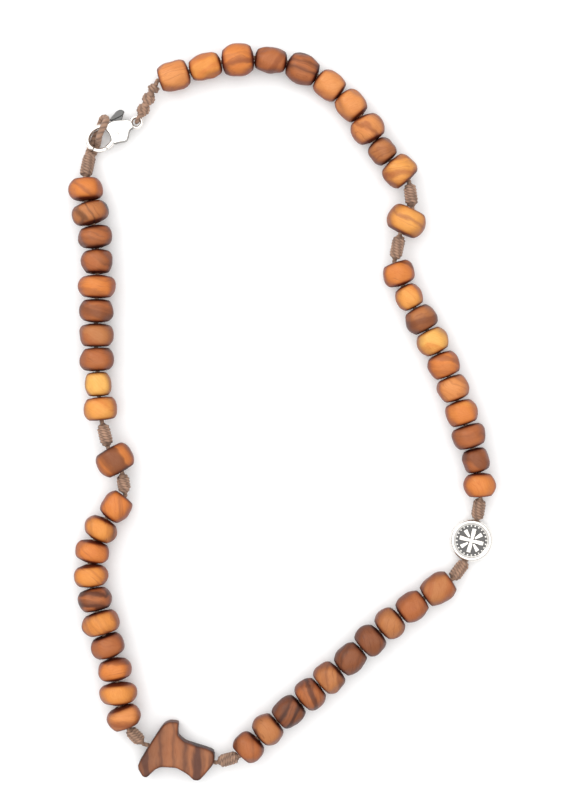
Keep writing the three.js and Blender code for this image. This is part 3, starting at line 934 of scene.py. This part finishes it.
# The wood of each bead: main tone, second tone, share of the second, turn of the bands in degrees
# from the cord's line.
LOOKS = {
    "ave_bead_1_01": ("peach", "clay", 0.30, 0), "ave_bead_1_02": ("amber", "orange", 0.35, 20),
    "ave_bead_1_03": ("orange", "rust", 0.45, 5), "ave_bead_1_04": ("clay", "rust", 0.30, 60),
    "ave_bead_1_05": ("clay", "dark", 0.50, 8), "ave_bead_1_06": ("peach", "orange", 0.25, 40),
    "ave_bead_1_07": ("peach", "amber", 0.30, 70), "ave_bead_1_08": ("peach", "rust", 0.35, 30),
    "ave_bead_1_09": ("tan", "brown", 0.55, 75), "ave_bead_1_10": ("gold", "clay", 0.35, 60),
    "pater_bead_1": ("gold", "tan", 0.30, 85), "ave_bead_2_01": ("orange", "rust", 0.30, 50),
    "ave_bead_2_02": ("gold", "orange", 0.30, 30), "ave_bead_2_03": ("tan", "brown", 0.45, 80),
    "ave_bead_2_04": ("straw", "amber", 0.30, 50), "ave_bead_2_05": ("orange", "clay", 0.40, 60),
    "ave_bead_2_06": ("peach", "clay", 0.30, 35), "ave_bead_2_07": ("orange", "amber", 0.30, 70),
    "ave_bead_2_08": ("clay", "brown", 0.35, 80), "ave_bead_2_09": ("clay", "brown", 0.50, 40),
    "ave_bead_2_10": ("orange", "gold", 0.25, 20), "ave_bead_3_01": ("tan", "clay", 0.40, 45),
    "ave_bead_3_02": ("clay", "rust", 0.30, 75), "ave_bead_3_03": ("tan", "brown", 0.40, 30),
    "ave_bead_3_04": ("brown", "dark", 0.40, 65), "ave_bead_3_05": ("brown", "umber", 0.30, 35),
    "ave_bead_3_06": ("tan", "brown", 0.40, 50), "ave_bead_3_07": ("clay", "dark", 0.45, 60),
    "ave_bead_3_08": ("brown", "umber", 0.45, 20), "ave_bead_3_09": ("tan", "dark", 0.40, 80),
    "ave_bead_3_10": ("clay", "brown", 0.35, 55), "ave_bead_4_01": ("peach", "rust", 0.35, 70),
    "ave_bead_4_02": ("amber", "orange", 0.25, 20), "ave_bead_4_03": ("orange", "rust", 0.35, 85),
    "ave_bead_4_04": ("clay", "rust", 0.35, 60), "ave_bead_4_05": ("amber", "rust", 0.40, 15),
    "ave_bead_4_06": ("clay", "dark", 0.45, 70), "ave_bead_4_07": ("amber", "clay", 0.30, 40),
    "ave_bead_4_08": ("orange", "rust", 0.35, 60), "ave_bead_4_09": ("amber", "dark", 0.35, 25),
    "ave_bead_4_10": ("orange", "rust", 0.35, 45), "pater_bead_2": ("orange", "brown", 0.50, 10),
    "ave_bead_5_01": ("gold", "orange", 0.30, 60), "ave_bead_5_02": ("straw", "gold", 0.30, 40),
    "ave_bead_5_03": ("clay", "brown", 0.40, 75), "ave_bead_5_04": ("tan", "clay", 0.35, 60),
    "ave_bead_5_05": ("clay", "brown", 0.40, 80), "ave_bead_5_06": ("orange", "clay", 0.35, 85),
    "ave_bead_5_07": ("clay", "brown", 0.40, 60), "ave_bead_5_08": ("clay", "brown", 0.40, 75),
    "ave_bead_5_09": ("tan", "umber", 0.50, 15), "ave_bead_5_10": ("orange", "clay", 0.30, 50),
}


class ROSARY_OT_beads(bpy.types.Operator):
    """Make every turned wooden bead on the stretch of cord that runs through it"""

    bl_idname = "rosary.beads"
    bl_label = "Beads"

    BORE = 0.9 * MM
    END_SHARE = 0.70  # radius of an end face against the bead's
    CLEARANCE = 0.20 * MM  # added to the fall that a hinge's limit asks for
    FIRST_SEED = 500  # each bead draws from its own seed

    def execute(self, context):
        settings = context.scene.rosary_wood
        wood = wood_material("Olive wood")
        for number, (name, bead) in enumerate(sorted(BEADS.items())):
            rng = random.Random(self.FIRST_SEED + number)
            form = Form()
            self.wood(form, bead, rng, settings)
            if name.startswith("ave"):
                far = bead.stop(1) if name != "ave_bead_5_10" else bead.centre
                core = context.scene.rosary_cord.thickness / 2
                tube(form, [bead.stop(-1), bead.centre, far], core, slot=1)
            piece = form.build(name.replace("ave_bead", "bead").replace("pater_bead", "large_bead"),
                               [wood, cord_finish()])
            # painted shade on the bead's sides and underside
            paint_side_shade(piece)
            dress(piece, name, name, self.record_slot(name))
        return {"FINISHED"}

    def record_slot(self, name):
        parts = frame["record"]["subparts"]
        return next(part["material_slot"] for part in parts if part["node"] == name)

    def dome(self, bead, side):
        """How far an end face must fall away so that neighbours clear each other as the cord bends."""
        reach = self.END_SHARE * bead.radius
        stop = bead.stop(side)
        worst = math.radians(4)
        for joint in frame["joints"]:
            pair = (joint["parent"], joint["child"])
            if bead.node not in pair or (joint_point(joint) - stop).length > 0.3 * MM:
                continue
            if not all(name.startswith("ave_bead") for name in pair):
                continue
            parent, child = BEADS[pair[0]], BEADS[pair[1]]
            for limit in (0, *joint["range_deg"]):
                turned = Quaternion(Vector(joint["axis"]), math.radians(limit)) @ child.axis
                worst = max(worst, parent.axis.angle(turned))
        return max(0.1 * MM, reach * math.tan(worst / 2) - BEAD_PLAY / 2 + self.CLEARANCE)

    def outline(self, bead, rng):
        """Points (along, radius, end-grain darkening with painted shade between beads) of the bead's section,
        from one bore mouth to the other.
        """
        half = bead.length / 2
        full = rng.uniform(2.0, 2.4)
        corner = rng.uniform(1.15, 1.45)
        lean = rng.uniform(-0.10, 0.10)
        end_radius = self.END_SHARE * bead.radius
        falls = {-1: self.dome(bead, -1), 1: self.dome(bead, 1)}

        def face(side):
            fall = falls[side]
            points = []
            for share in (0.0, 0.12, 0.3, 0.5, 0.7, 0.88):
                radius = self.BORE + 0.12 * MM + share * (end_radius - self.BORE - 0.12 * MM)
                points.append((side * (half - fall * share ** 1.4), radius, 1.0 if share < 0.85 else 0.9))
            return points

        section = [(-half + 0.5 * MM, self.BORE, 1.0), (-half + 0.12 * MM, self.BORE, 1.0)]
        section += face(-1)
        steps = 26
        for i in range(steps + 1):
            t = -math.cos(math.pi * i / steps)
            place = t + lean * (1 - t * t)
            rise = max(0.0, 1 - abs(t) ** full) ** (1 / corner)
            radius = end_radius + (bead.radius - end_radius) * rise
            side = -1 if place < 0 else 1
            along = place * (half - falls[side])
            # darker towards the ends: end grain, and painted shade where neighbouring beads meet
            ends = max(0.0, (abs(t) - 0.74) / 0.26) ** 1.6 * 0.95
            section.append((along, radius, ends))
        section += list(reversed(face(1)))
        section += [(half - 0.12 * MM, self.BORE, 1.0), (half - 0.5 * MM, self.BORE, 1.0)]
        return section

    def wood(self, form, bead, rng, settings):
        section = self.outline(bead, rng)
        side, up = basis(bead.axis)
        tone, second, share, turn = LOOKS[bead.node]
        seed = Vector((rng.uniform(-50, 50), rng.uniform(-50, 50), rng.uniform(-50, 50)))
        fibres = Matrix.Rotation(math.radians(turn), 3, "Z") @ Matrix.Rotation(rng.uniform(-0.5, 0.5), 3, "X")
        rings, grain, ends = [], [], []
        lights, darks, shares = [], [], []
        for along, radius, end in section:
            ring, ring_grain = [], []
            for k in range(settings.sides):
                angle = 2 * math.pi * k / settings.sides
                around = Vector((along / bead.radius, math.cos(angle), math.sin(angle)))
                uneven = noise.noise(around * 1.5 + seed) if radius > 1.5 * self.BORE else 0.0
                reach = radius - settings.unevenness * (0.6 + uneven)
                if radius <= 1.5 * self.BORE:
                    reach = radius
                local = Vector((along, reach * math.cos(angle), reach * math.sin(angle)))
                ring.append(bead.centre + bead.axis * local.x + side * local.y + up * local.z)
                ring_grain.append(tuple(fibres @ (local / MM) + seed))
            rings.append(ring)
            grain.append(ring_grain)
            ends.append([end] * settings.sides)
            lights.append([warmed(tone)] * settings.sides)
            darks.append([warmed(second)] * settings.sides)
            shares.append([share] * settings.sides)
        form.grid(rings, 0, long_way=True, grain=grain, end_grain=ends,
                  tone_light=lights, tone_dark=darks, dark_share=shares)


# ---------------------------------------------------------------- flat pieces


def rounded(points, rounds=2, cut=0.2):
    """Cuts the corners of an outline, as sanding does."""
    for _ in range(rounds):
        made = []
        for i, (x, y) in enumerate(points):
            nx, ny = points[(i + 1) % len(points)]
            made.append((x + (nx - x) * cut, y + (ny - y) * cut))
            made.append((nx - (nx - x) * cut, ny - (ny - y) * cut))
        points = made
    return points


def resampled(points, spacing):
    """The same outline with points no further apart than the spacing."""
    made = []
    for i, (x, y) in enumerate(points):
        nx, ny = points[(i + 1) % len(points)]
        count = max(1, int(math.hypot(nx - x, ny - y) / spacing))
        for k in range(count):
            made.append((x + (nx - x) * k / count, y + (ny - y) * k / count))
    return made


def inset(points, distance):
    """Points a distance inside an outline that runs anticlockwise, without those that cross over."""
    made = []
    for i, (x, y) in enumerate(points):
        px, py = points[i - 1]
        nx, ny = points[(i + 1) % len(points)]
        along = Vector((nx - px, ny - py)).normalized()
        point = Vector((x - along.y * distance, y + along.x * distance))
        if depth_inside(point, points) > 0.93 * distance:
            made.append(point)
    return made


def depth_inside(point, outline):
    """How far a point is inside an outline; negative outside."""
    least = 1e9
    inside = False
    px, py = point
    ax, ay = outline[-1]
    for bx, by in outline:
        dx, dy = bx - ax, by - ay
        share = ((px - ax) * dx + (py - ay) * dy) / max(dx * dx + dy * dy, 1e-12)
        share = min(1.0, max(0.0, share))
        ex, ey = ax + dx * share - px, ay + dy * share - py
        least = min(least, ex * ex + ey * ey)
        if (ay > py) != (by > py) and px < ax + dx * (py - ay) / (by - ay):
            inside = not inside
        ax, ay = bx, by
    return math.sqrt(least) * (1 if inside else -1)


def area_of(outline):
    return sum(x0 * y1 - x1 * y0 for (x0, y0), (x1, y1) in zip(outline, outline[1:] + outline[:1])) / 2


def slab(form, outline, low, high, edge, place, slot=0, spacing=0.3, grain=None, dark=None,
         dark_name="hollow", wave=0.0):
    """A plate with rounded edges. outline is in millimetres, place carries it into the rosary.
    dark gives a value for a depth inside the outline; wave is how uneven the faces are."""
    if area_of(outline) < 0:
        outline = list(reversed(outline))
    outline = [Vector(p) for p in resampled(outline, spacing)]
    count = len(outline)
    flat = list(outline)
    for share in (0.08, 0.25, 0.5, 0.75, 1.0):
        flat += inset(outline, share * edge)
    xs, ys = [p.x for p in outline], [p.y for p in outline]
    step = 1.4 * spacing
    for i in range(int((max(xs) - min(xs)) / step) + 1):
        for k in range(int((max(ys) - min(ys)) / step) + 1):
            point = Vector((min(xs) + (i + 0.5 * (k % 2)) * step, min(ys) + k * step))
            if depth_inside(point, outline) > edge + 0.4 * step:
                flat.append(point)
    rim = [(i, (i + 1) % count) for i in range(count)]
    flat, _, faces, *_ = geometry.delaunay_2d_cdt(flat, rim, [], 1, 1e-5)
    depths = [max(0.0, depth_inside(point, outline)) for point in flat]
    on_rim = [depth < 1e-4 for depth in depths]
    rows = {}
    for side in (1, -1):
        middle, half = (low + high) / 2, (high - low) / 2
        for number, (point, depth) in enumerate(zip(flat, depths)):
            short = max(0.0, edge - depth)
            rise = half - edge + math.sqrt(max(0.0, edge * edge - short * short))
            level = min(1.0, depth / max(edge, 1e-6))
            uneven = wave * level * noise.noise(Vector((point.x * 0.45, point.y * 0.45, side * 5.0)))
            if on_rim[number]:
                rise, uneven = half - edge, 0.0
            z = middle + side * rise + uneven
            at = len(form.points)
            rows[side, number] = at
            form.points.append(place @ (Vector((point.x, point.y, z)) * MM))
            if grain:
                form.values.setdefault("grain", {})[at] = grain(point.x, point.y, z)
            form.values.setdefault(dark_name, {})[at] = dark(depth) if dark else 0.0
        for face in faces:
            corners = [rows[side, number] for number in face]
            form.faces.append(tuple(corners if side == 1 else reversed(corners)))
            form.slots.append(slot)
    edges = {}
    for face in faces:
        for a, b in zip(face, (*face[1:], face[0])):
            edges[a, b] = True
    for a, b in edges:
        if (b, a) not in edges:
            form.faces.append((rows[1, b], rows[1, a], rows[-1, a], rows[-1, b]))
            form.slots.append(slot)


# Plan of the Tau in millimetres: x runs up the stem from the foot's bore, y across it.
TAU_OUTLINE = [
    (0.3, -2.8), (7.4, -3.1), (9.5, -4.2), (10.0, -7.2), (12.2, -6.8), (13.5, -5.6),
    (17.0, 5.0), (15.0, 7.1), (14.0, 7.1), (12.6, 4.8), (11.4, 3.9), (7.8, 3.2),
    (4.8, 4.1), (3.3, 5.0), (1.9, 4.7), (-0.4, 0.0),
]
TAU_FOOT_AT = -0.4  # where the bore leaves the foot, along x
TAU_THICKNESS = 5.0


class ROSARY_OT_cross(bpy.types.Operator):
    """Make the Tau cross, sawn from a flat board and sanded"""

    bl_idname = "rosary.cross"
    bl_label = "Tau cross"

    BAND_TURN = math.radians(-15)  # the board's bands against a square line across the stem

    def execute(self, context):
        foot, bar = sorted(bore_of("tau_cross"), key=lambda p: -p.x)
        along = (bar - foot).normalized()
        heading = math.atan2(along.y, along.x)
        turn = Matrix.Rotation(heading, 4, "Z")
        origin = foot - along * TAU_FOOT_AT * MM
        origin.z = 0.0
        place = Matrix.Translation(origin) @ turn
        bands = Matrix.Rotation(self.BAND_TURN + math.pi / 2, 3, "Z")

        def grain(x, y, z):
            return tuple(bands @ Vector((x, y, z * 1.4)) + Vector((3.0, 21.5, 7.0)))

        # darker along the outline: end grain at the sawn edges, and painted shade on the rounded edges
        def dark(depth):
            return 0.75 * max(0.0, 1 - depth / 0.8) ** 1.2

        outline = rounded(rounded(TAU_OUTLINE, 1, 0.14), 1, 0.25)
        form = Form()
        slab(form, outline, 0.0, TAU_THICKNESS, 0.65, place, spacing=0.32, grain=grain, dark=dark,
             dark_name="end_grain", wave=0.22)
        wood = wood_material("Olive heartwood", (0.33, 0.125, 0.05), (0.105, 0.036, 0.019), 0.50)
        piece = form.build("tau_cross_wood", [wood])
        drill(piece, foot - along * 2 * MM, bar + along * 2 * MM, 0.95 * MM)
        # painted shade on the cross's sides and underside
        paint_side_shade(piece, 0.75)
        dress(piece, "tau_cross", "tau_cross", "wood_tau")
        return {"FINISHED"}


def drill(piece, start, stop, radius):
    """Bores a round hole from start to stop."""
    form = Form()
    side, up = basis((stop - start).normalized())
    form.closed([circle(point, side, up, radius, DRILL_SIDES) for point in (start, stop)])
    cutter = form.build("cutter", [])
    modifier = piece.modifiers.new("bore", "BOOLEAN")
    modifier.object = cutter
    modifier.operation = "DIFFERENCE"
    modifier.solver = "EXACT"
    shaped = piece.evaluated_get(bpy.context.evaluated_depsgraph_get())
    mesh = bpy.data.meshes.new_from_object(shaped)
    piece.modifiers.clear()
    piece.data = mesh
    bpy.data.objects.remove(cutter)


# ---------------------------------------------------------------- medal


class ROSARY_OT_medal(bpy.types.Operator):
    """Make the round medal with its rim and a plain cross in relief on both sides"""

    bl_idname = "rosary.medal"
    bl_label = "Medal"

    RADIUS = 4.95
    HALF = 1.3
    RIM = 1.2
    SIDES = 160

    def relief(self, x, y):
        """Height in mm of the relief above the sunk field: a flared cross, rays and a ring of dots."""
        size = math.hypot(x, y)
        angle = math.atan2(y, x)
        height = 0.0
        for u, v in ((x, y), (y, x)):
            reach = 2.15 if (u is x) else 2.45
            arm = 0.34 + 0.20 * abs(u) / reach
            if abs(u) < reach:
                height = max(height, soft_step(arm - abs(v), 0.16) * soft_step(reach - abs(u), 0.16) * 0.26)
        ray = abs(math.sin(4 * (angle + math.pi / 8)))
        if 0.9 < size < 2.9:
            width = 0.10 + 0.05 * (size - 0.9)
            off = size * math.asin(min(1.0, 1 - ray)) / 4 if ray < 1 else 0.0
            height = max(height, soft_step(width - off, 0.10) * soft_step(2.9 - size, 0.3) * 0.16)
        step = 2 * math.pi / 24
        near = (round(angle / step)) * step
        dot = math.hypot(x - 3.4 * math.cos(near), y - 3.4 * math.sin(near))
        if dot < 0.24:
            height = max(height, 0.2 * math.sqrt(1 - (dot / 0.24) ** 2))
        return height

    def execute(self, context):
        one, other = bore_of("medal")
        along = (other - one).normalized()
        centre = centre_of("medal")
        place = Matrix.Translation(centre) @ Matrix.Rotation(math.atan2(along.y, along.x), 4, "Z")
        field = self.RADIUS - self.RIM - 0.12
        radii = [0.02] + [field * i / 46 for i in range(1, 47)]
        form = Form()
        rows = []
        for side in (1, -1):
            face = []
            for radius in radii:
                face.append((radius, side * (self.HALF - 0.42), True))
            for share in (0.0, 0.25, 0.5, 0.75, 1.0):
                swell = 0.36 * math.sin(math.pi / 2 * (share if share < 0.5 else 1.0))
                fall = 0.12 * max(0.0, share - 0.75) / 0.25
                radius = field + 0.12 + (self.RIM - 0.3) * share * 0.98
                face.append((radius, side * (self.HALF - 0.36 + swell - fall), False))
            face.append((self.RADIUS - 0.08, side * (self.HALF - 0.32), False))
            face.append((self.RADIUS, side * (self.HALF - 0.62), False))
            rows.extend(face if side == 1 else list(reversed(face)))
        rings, hollows = [], []
        for radius, z, sunk in rows:
            ring, hollow = [], []
            for k in range(self.SIDES):
                angle = -2 * math.pi * k / self.SIDES
                x, y = radius * math.cos(angle), radius * math.sin(angle)
                rise = self.relief(x, y) if sunk else 0.0
                ring.append(place @ (Vector((x, y, z + math.copysign(rise, z))) * MM))
                hollow.append(max(0.0, 0.85 - 4.2 * rise) if sunk else 0.0)
            rings.append(ring)
            hollows.append(hollow)
        form.closed(rings, hollow=hollows)
        dress(form.build("medal_disc", [silver_finish()]), "medal", "medal", "silver")
        return {"FINISHED"}


def soft_step(value, width):
    share = min(1.0, max(0.0, value / width + 0.5))
    return share * share * (3 - 2 * share)


# ---------------------------------------------------------------- clasp

HOOK_CENTRE = (9.2, -0.1)
HOOK_MIDDLE = (3.1, 2.65)  # half axes of the middle line of the hook's ring
GATE_START = math.radians(97)  # the gate closes the ring between these two angles
GATE_STOP = math.radians(33)
HOUSING = [
    (0.9, -0.9), (2.2, -1.6), (4.5, -2.5), (6.6, -2.6), (7.6, -2.2), (6.9, -0.6), (6.9, 0.8),
    (7.3, 1.9), (6.6, 2.5), (5.6, 2.6), (3.9, 3.1), (3.1, 2.3), (2.2, 1.0), (1.0, 0.9),
]
LEVER_ARM = [
    (6.9, 2.4), (5.2, 1.8), (4.3, 1.2), (3.4, -1.4), (2.4, -2.4), (1.6, -3.6),
    (2.2, -4.1), (3.0, -4.1), (4.2, -3.0), (4.9, -1.2), (5.8, -0.2), (6.8, 1.2),
]


def ring_arc(form, place, start, stop, width, height, steps):
    """Part of the hook's ring with a rounded section, width across and height up."""
    wide, deep = HOOK_MIDDLE
    turns = [2 * math.pi * k / HOOK_SIDES for k in range(HOOK_SIDES)]
    rings = []
    for i in range(steps + 1):
        angle = start + (stop - start) * i / steps
        ahead, aside = math.cos(angle), math.sin(angle)
        middle = Vector((HOOK_CENTRE[0] + wide * ahead, HOOK_CENTRE[1] + deep * aside, 0))
        out = Vector((ahead / wide, aside / deep, 0)).normalized()
        ring = []
        for turn in turns:
            cx, cz = math.cos(turn), math.sin(turn)
            square = (abs(cx) ** HOOK_SQUARENESS + abs(cz) ** HOOK_SQUARENESS) ** (-1 / HOOK_SQUARENESS)
            corner = middle + out * cx * square * width / 2 + UP * cz * square * height / 2
            ring.append(place @ (corner * MM))
        rings.append(ring)
    # painted shade on the ring's inner and outer sides
    shade = [0.5 * abs(math.cos(turn)) ** 6 for turn in turns]
    form.closed(rings, hollow=[shade] * len(rings))


def eye_ring(form, place, radius, thick, high):
    rings = []
    for i in range(EYE_STEPS):
        angle = 2 * math.pi * i / EYE_STEPS
        out = Vector((math.cos(angle), math.sin(angle), 0))
        ring = []
        for k in range(EYE_SIDES):
            turn = 2 * math.pi * k / EYE_SIDES
            point = out * (radius + thick / 2 * math.cos(turn)) + UP * high / 2 * math.sin(turn)
            ring.append(place @ (point * MM))
        rings.append(ring)
    form.grid(rings, long_way=True, hollow=[[0.0] * EYE_SIDES] * EYE_STEPS)


class ROSARY_OT_clasp(bpy.types.Operator):
    """Make the lobster clasp: body, thumb lever, rivet and return spring"""

    bl_idname = "rosary.clasp"
    bl_label = "Clasp"

    def execute(self, context):
        place = clasp_place()
        settings = context.scene.rosary_metal
        # dark metal: painted shade and reflection on the lever's arm and horn, and the colour of the spring
        dark = metal_material("Dark steel and painted shade", settings.dark[:], tuple(c * 0.4 for c in settings.dark), 0.6)
        self.body(place)
        self.lever(place, dark)
        self.rivet(place)
        self.spring(place, dark)
        return {"FINISHED"}

    def body(self, place):
        form = Form()
        ring_arc(form, place, GATE_START, 2 * math.pi + GATE_STOP, 1.2, 2.2, 72)
        outline = rounded(HOUSING, 2)
        # painted shade along the edges of the housing, webs and neck
        painted_edge_shade = lambda depth: 0.62 * max(0.0, 1 - depth / 0.34)
        values = {"dark": painted_edge_shade, "spacing": 0.14}
        for low, high in ((0.5, 1.12), (-1.12, -0.5)):
            slab(form, outline, low, high, 0.28, place, **values)
        inner = [
            rounded([(0.95, -0.25), (3.0, -0.25), (3.0, 2.0), (2.2, 0.9), (1.05, 0.8)], 1),
            rounded([(5.7, -2.45), (6.6, -2.5), (7.4, -2.1), (6.9, -0.7), (5.8, -0.6)], 1),
        ]
        for web in inner:
            slab(form, web, -0.9, 0.9, 0.1, place, **values)
        eye_ring(form, place, 1.25, 0.8, 1.4)
        neck = rounded([(0.95, -0.75), (2.3, -0.9), (2.3, 0.75), (0.95, 0.7)], 1)
        slab(form, neck, -0.7, 0.7, 0.25, place, **values)
        self.finish_piece(form, "clasp_hook", "clasp", "clasp_body", silver_finish(), "silver")

    def lever(self, place, dark):
        form = Form()
        values = {"dark": lambda depth: 0.0, "spacing": 0.14}
        # the arm and the horn take the dark metal, which paints the shade and dark reflection on them
        slab(form, rounded(LEVER_ARM, 2), -0.44, 0.44, 0.15, place, slot=1, **values)
        horn = [(1.4, -3.5), (2.0, -4.25), (3.1, -4.3), (4.6, -3.6), (5.6, -3.0), (5.0, -2.75),
                (4.0, -2.7), (2.6, -2.75), (2.0, -2.9)]
        slab(form, rounded(horn, 2), -0.85, 0.85, 0.25, place, slot=1, **values)
        ring_arc(form, place, GATE_START - 0.05, GATE_STOP + 0.06, 1.02, 0.88, 22)
        piece = form.build("clasp_gate", [silver_finish(), dark])
        dress(piece, "clasp_lever", "clasp_lever", "silver_dark")

    def rivet(self, place):
        form = Form()
        top = [(0.4, 1.05), (0.42, 1.16), (0.3, 1.26), (0.0, 1.28)]
        rows = [(radius, -z) for radius, z in reversed(top)] + [(0.38, 0.0)] + top
        rings = []
        for radius, z in rows:
            radius = max(radius, 0.01)
            ring = circle(CLASP_PIVOT + UP * z * MM, *LEVEL, radius * MM, RIVET_SIDES)
            rings.append([place @ point for point in ring])
        # darker round the side of the head, where it meets the plate
        ring_marks = [0.0, 0.1, 0.95, 0.95, 0.0, 0.95, 0.95, 0.1, 0.0]
        form.closed(rings, hollow=[[mark] * RIVET_SIDES for mark in ring_marks])
        self.finish_piece(form, "clasp_rivet", "clasp", "clasp_pin", silver_finish(), "silver")

    def spring(self, place, dark):
        form = Form()
        line = [(3.5, 1.9), (3.42, 1.2), (3.5, 0.75), (3.68, 0.72), (3.85, 1.1), (4.05, 1.65)]
        points = [place @ (Vector((x, y, 0)) * MM) for x, y in line]
        rings = []
        path = smooth_path(points, 4)
        for i, point in enumerate(path):
            ahead = (path[min(i + 1, len(path) - 1)] - path[max(i - 1, 0)]).normalized()
            side = ahead.cross(UP).normalized()
            corners = [(-1, -1), (1, -1), (1, 1), (-1, 1)]
            rings.append([point + side * a * 0.09 * MM + UP * b * 0.36 * MM for a, b in corners])
        form.closed(rings, hollow=[[0.0] * 4] * len(rings))
        self.finish_piece(form, "clasp_leaf_spring", "clasp", "clasp_spring", dark, "silver_dark")

    def finish_piece(self, form, name, body, cad_node, material, slot):
        dress(form.build(name, [material]), body, cad_node, slot)


# ---------------------------------------------------------------- add-on


class ROSARY_PT_panel(bpy.types.Panel):
    """Lists the makers of the rosary's pieces"""

    bl_idname = "ROSARY_PT_panel"
    bl_label = "Wooden rosary"
    bl_space_type = "VIEW_3D"
    bl_region_type = "UI"
    bl_category = "Rosary"

    def draw(self, context):
        for group in (context.scene.rosary_wood, context.scene.rosary_cord,
                      context.scene.rosary_metal, context.scene.rosary_stage):
            column = self.layout.column()
            for name in group.__annotations__:
                column.prop(group, name)
        for maker in MAKERS:
            self.layout.operator(maker.bl_idname)


MAKERS = (ROSARY_OT_stage, ROSARY_OT_cord, ROSARY_OT_beads, ROSARY_OT_cross, ROSARY_OT_medal, ROSARY_OT_clasp)
GROUPS = {
    "rosary_wood": RosaryWood,
    "rosary_cord": RosaryCord,
    "rosary_metal": RosaryMetal,
    "rosary_stage": RosaryStage,
}


def register():
    for kind in (*GROUPS.values(), *MAKERS, ROSARY_PT_panel):
        bpy.utils.register_class(kind)
    for name, kind in GROUPS.items():
        setattr(bpy.types.Scene, name, bpy.props.PointerProperty(type=kind))


def unregister():
    for name in GROUPS:
        delattr(bpy.types.Scene, name)
    for kind in (ROSARY_PT_panel, *reversed(MAKERS), *GROUPS.values()):
        bpy.utils.unregister_class(kind)


def main():
    register()
    bpy.ops.rosary.stage()
    bpy.ops.rosary.cord()
    bpy.ops.rosary.beads()
    bpy.ops.rosary.cross()
    bpy.ops.rosary.medal()
    bpy.ops.rosary.clasp()


if __name__ == "__main__":
    main()
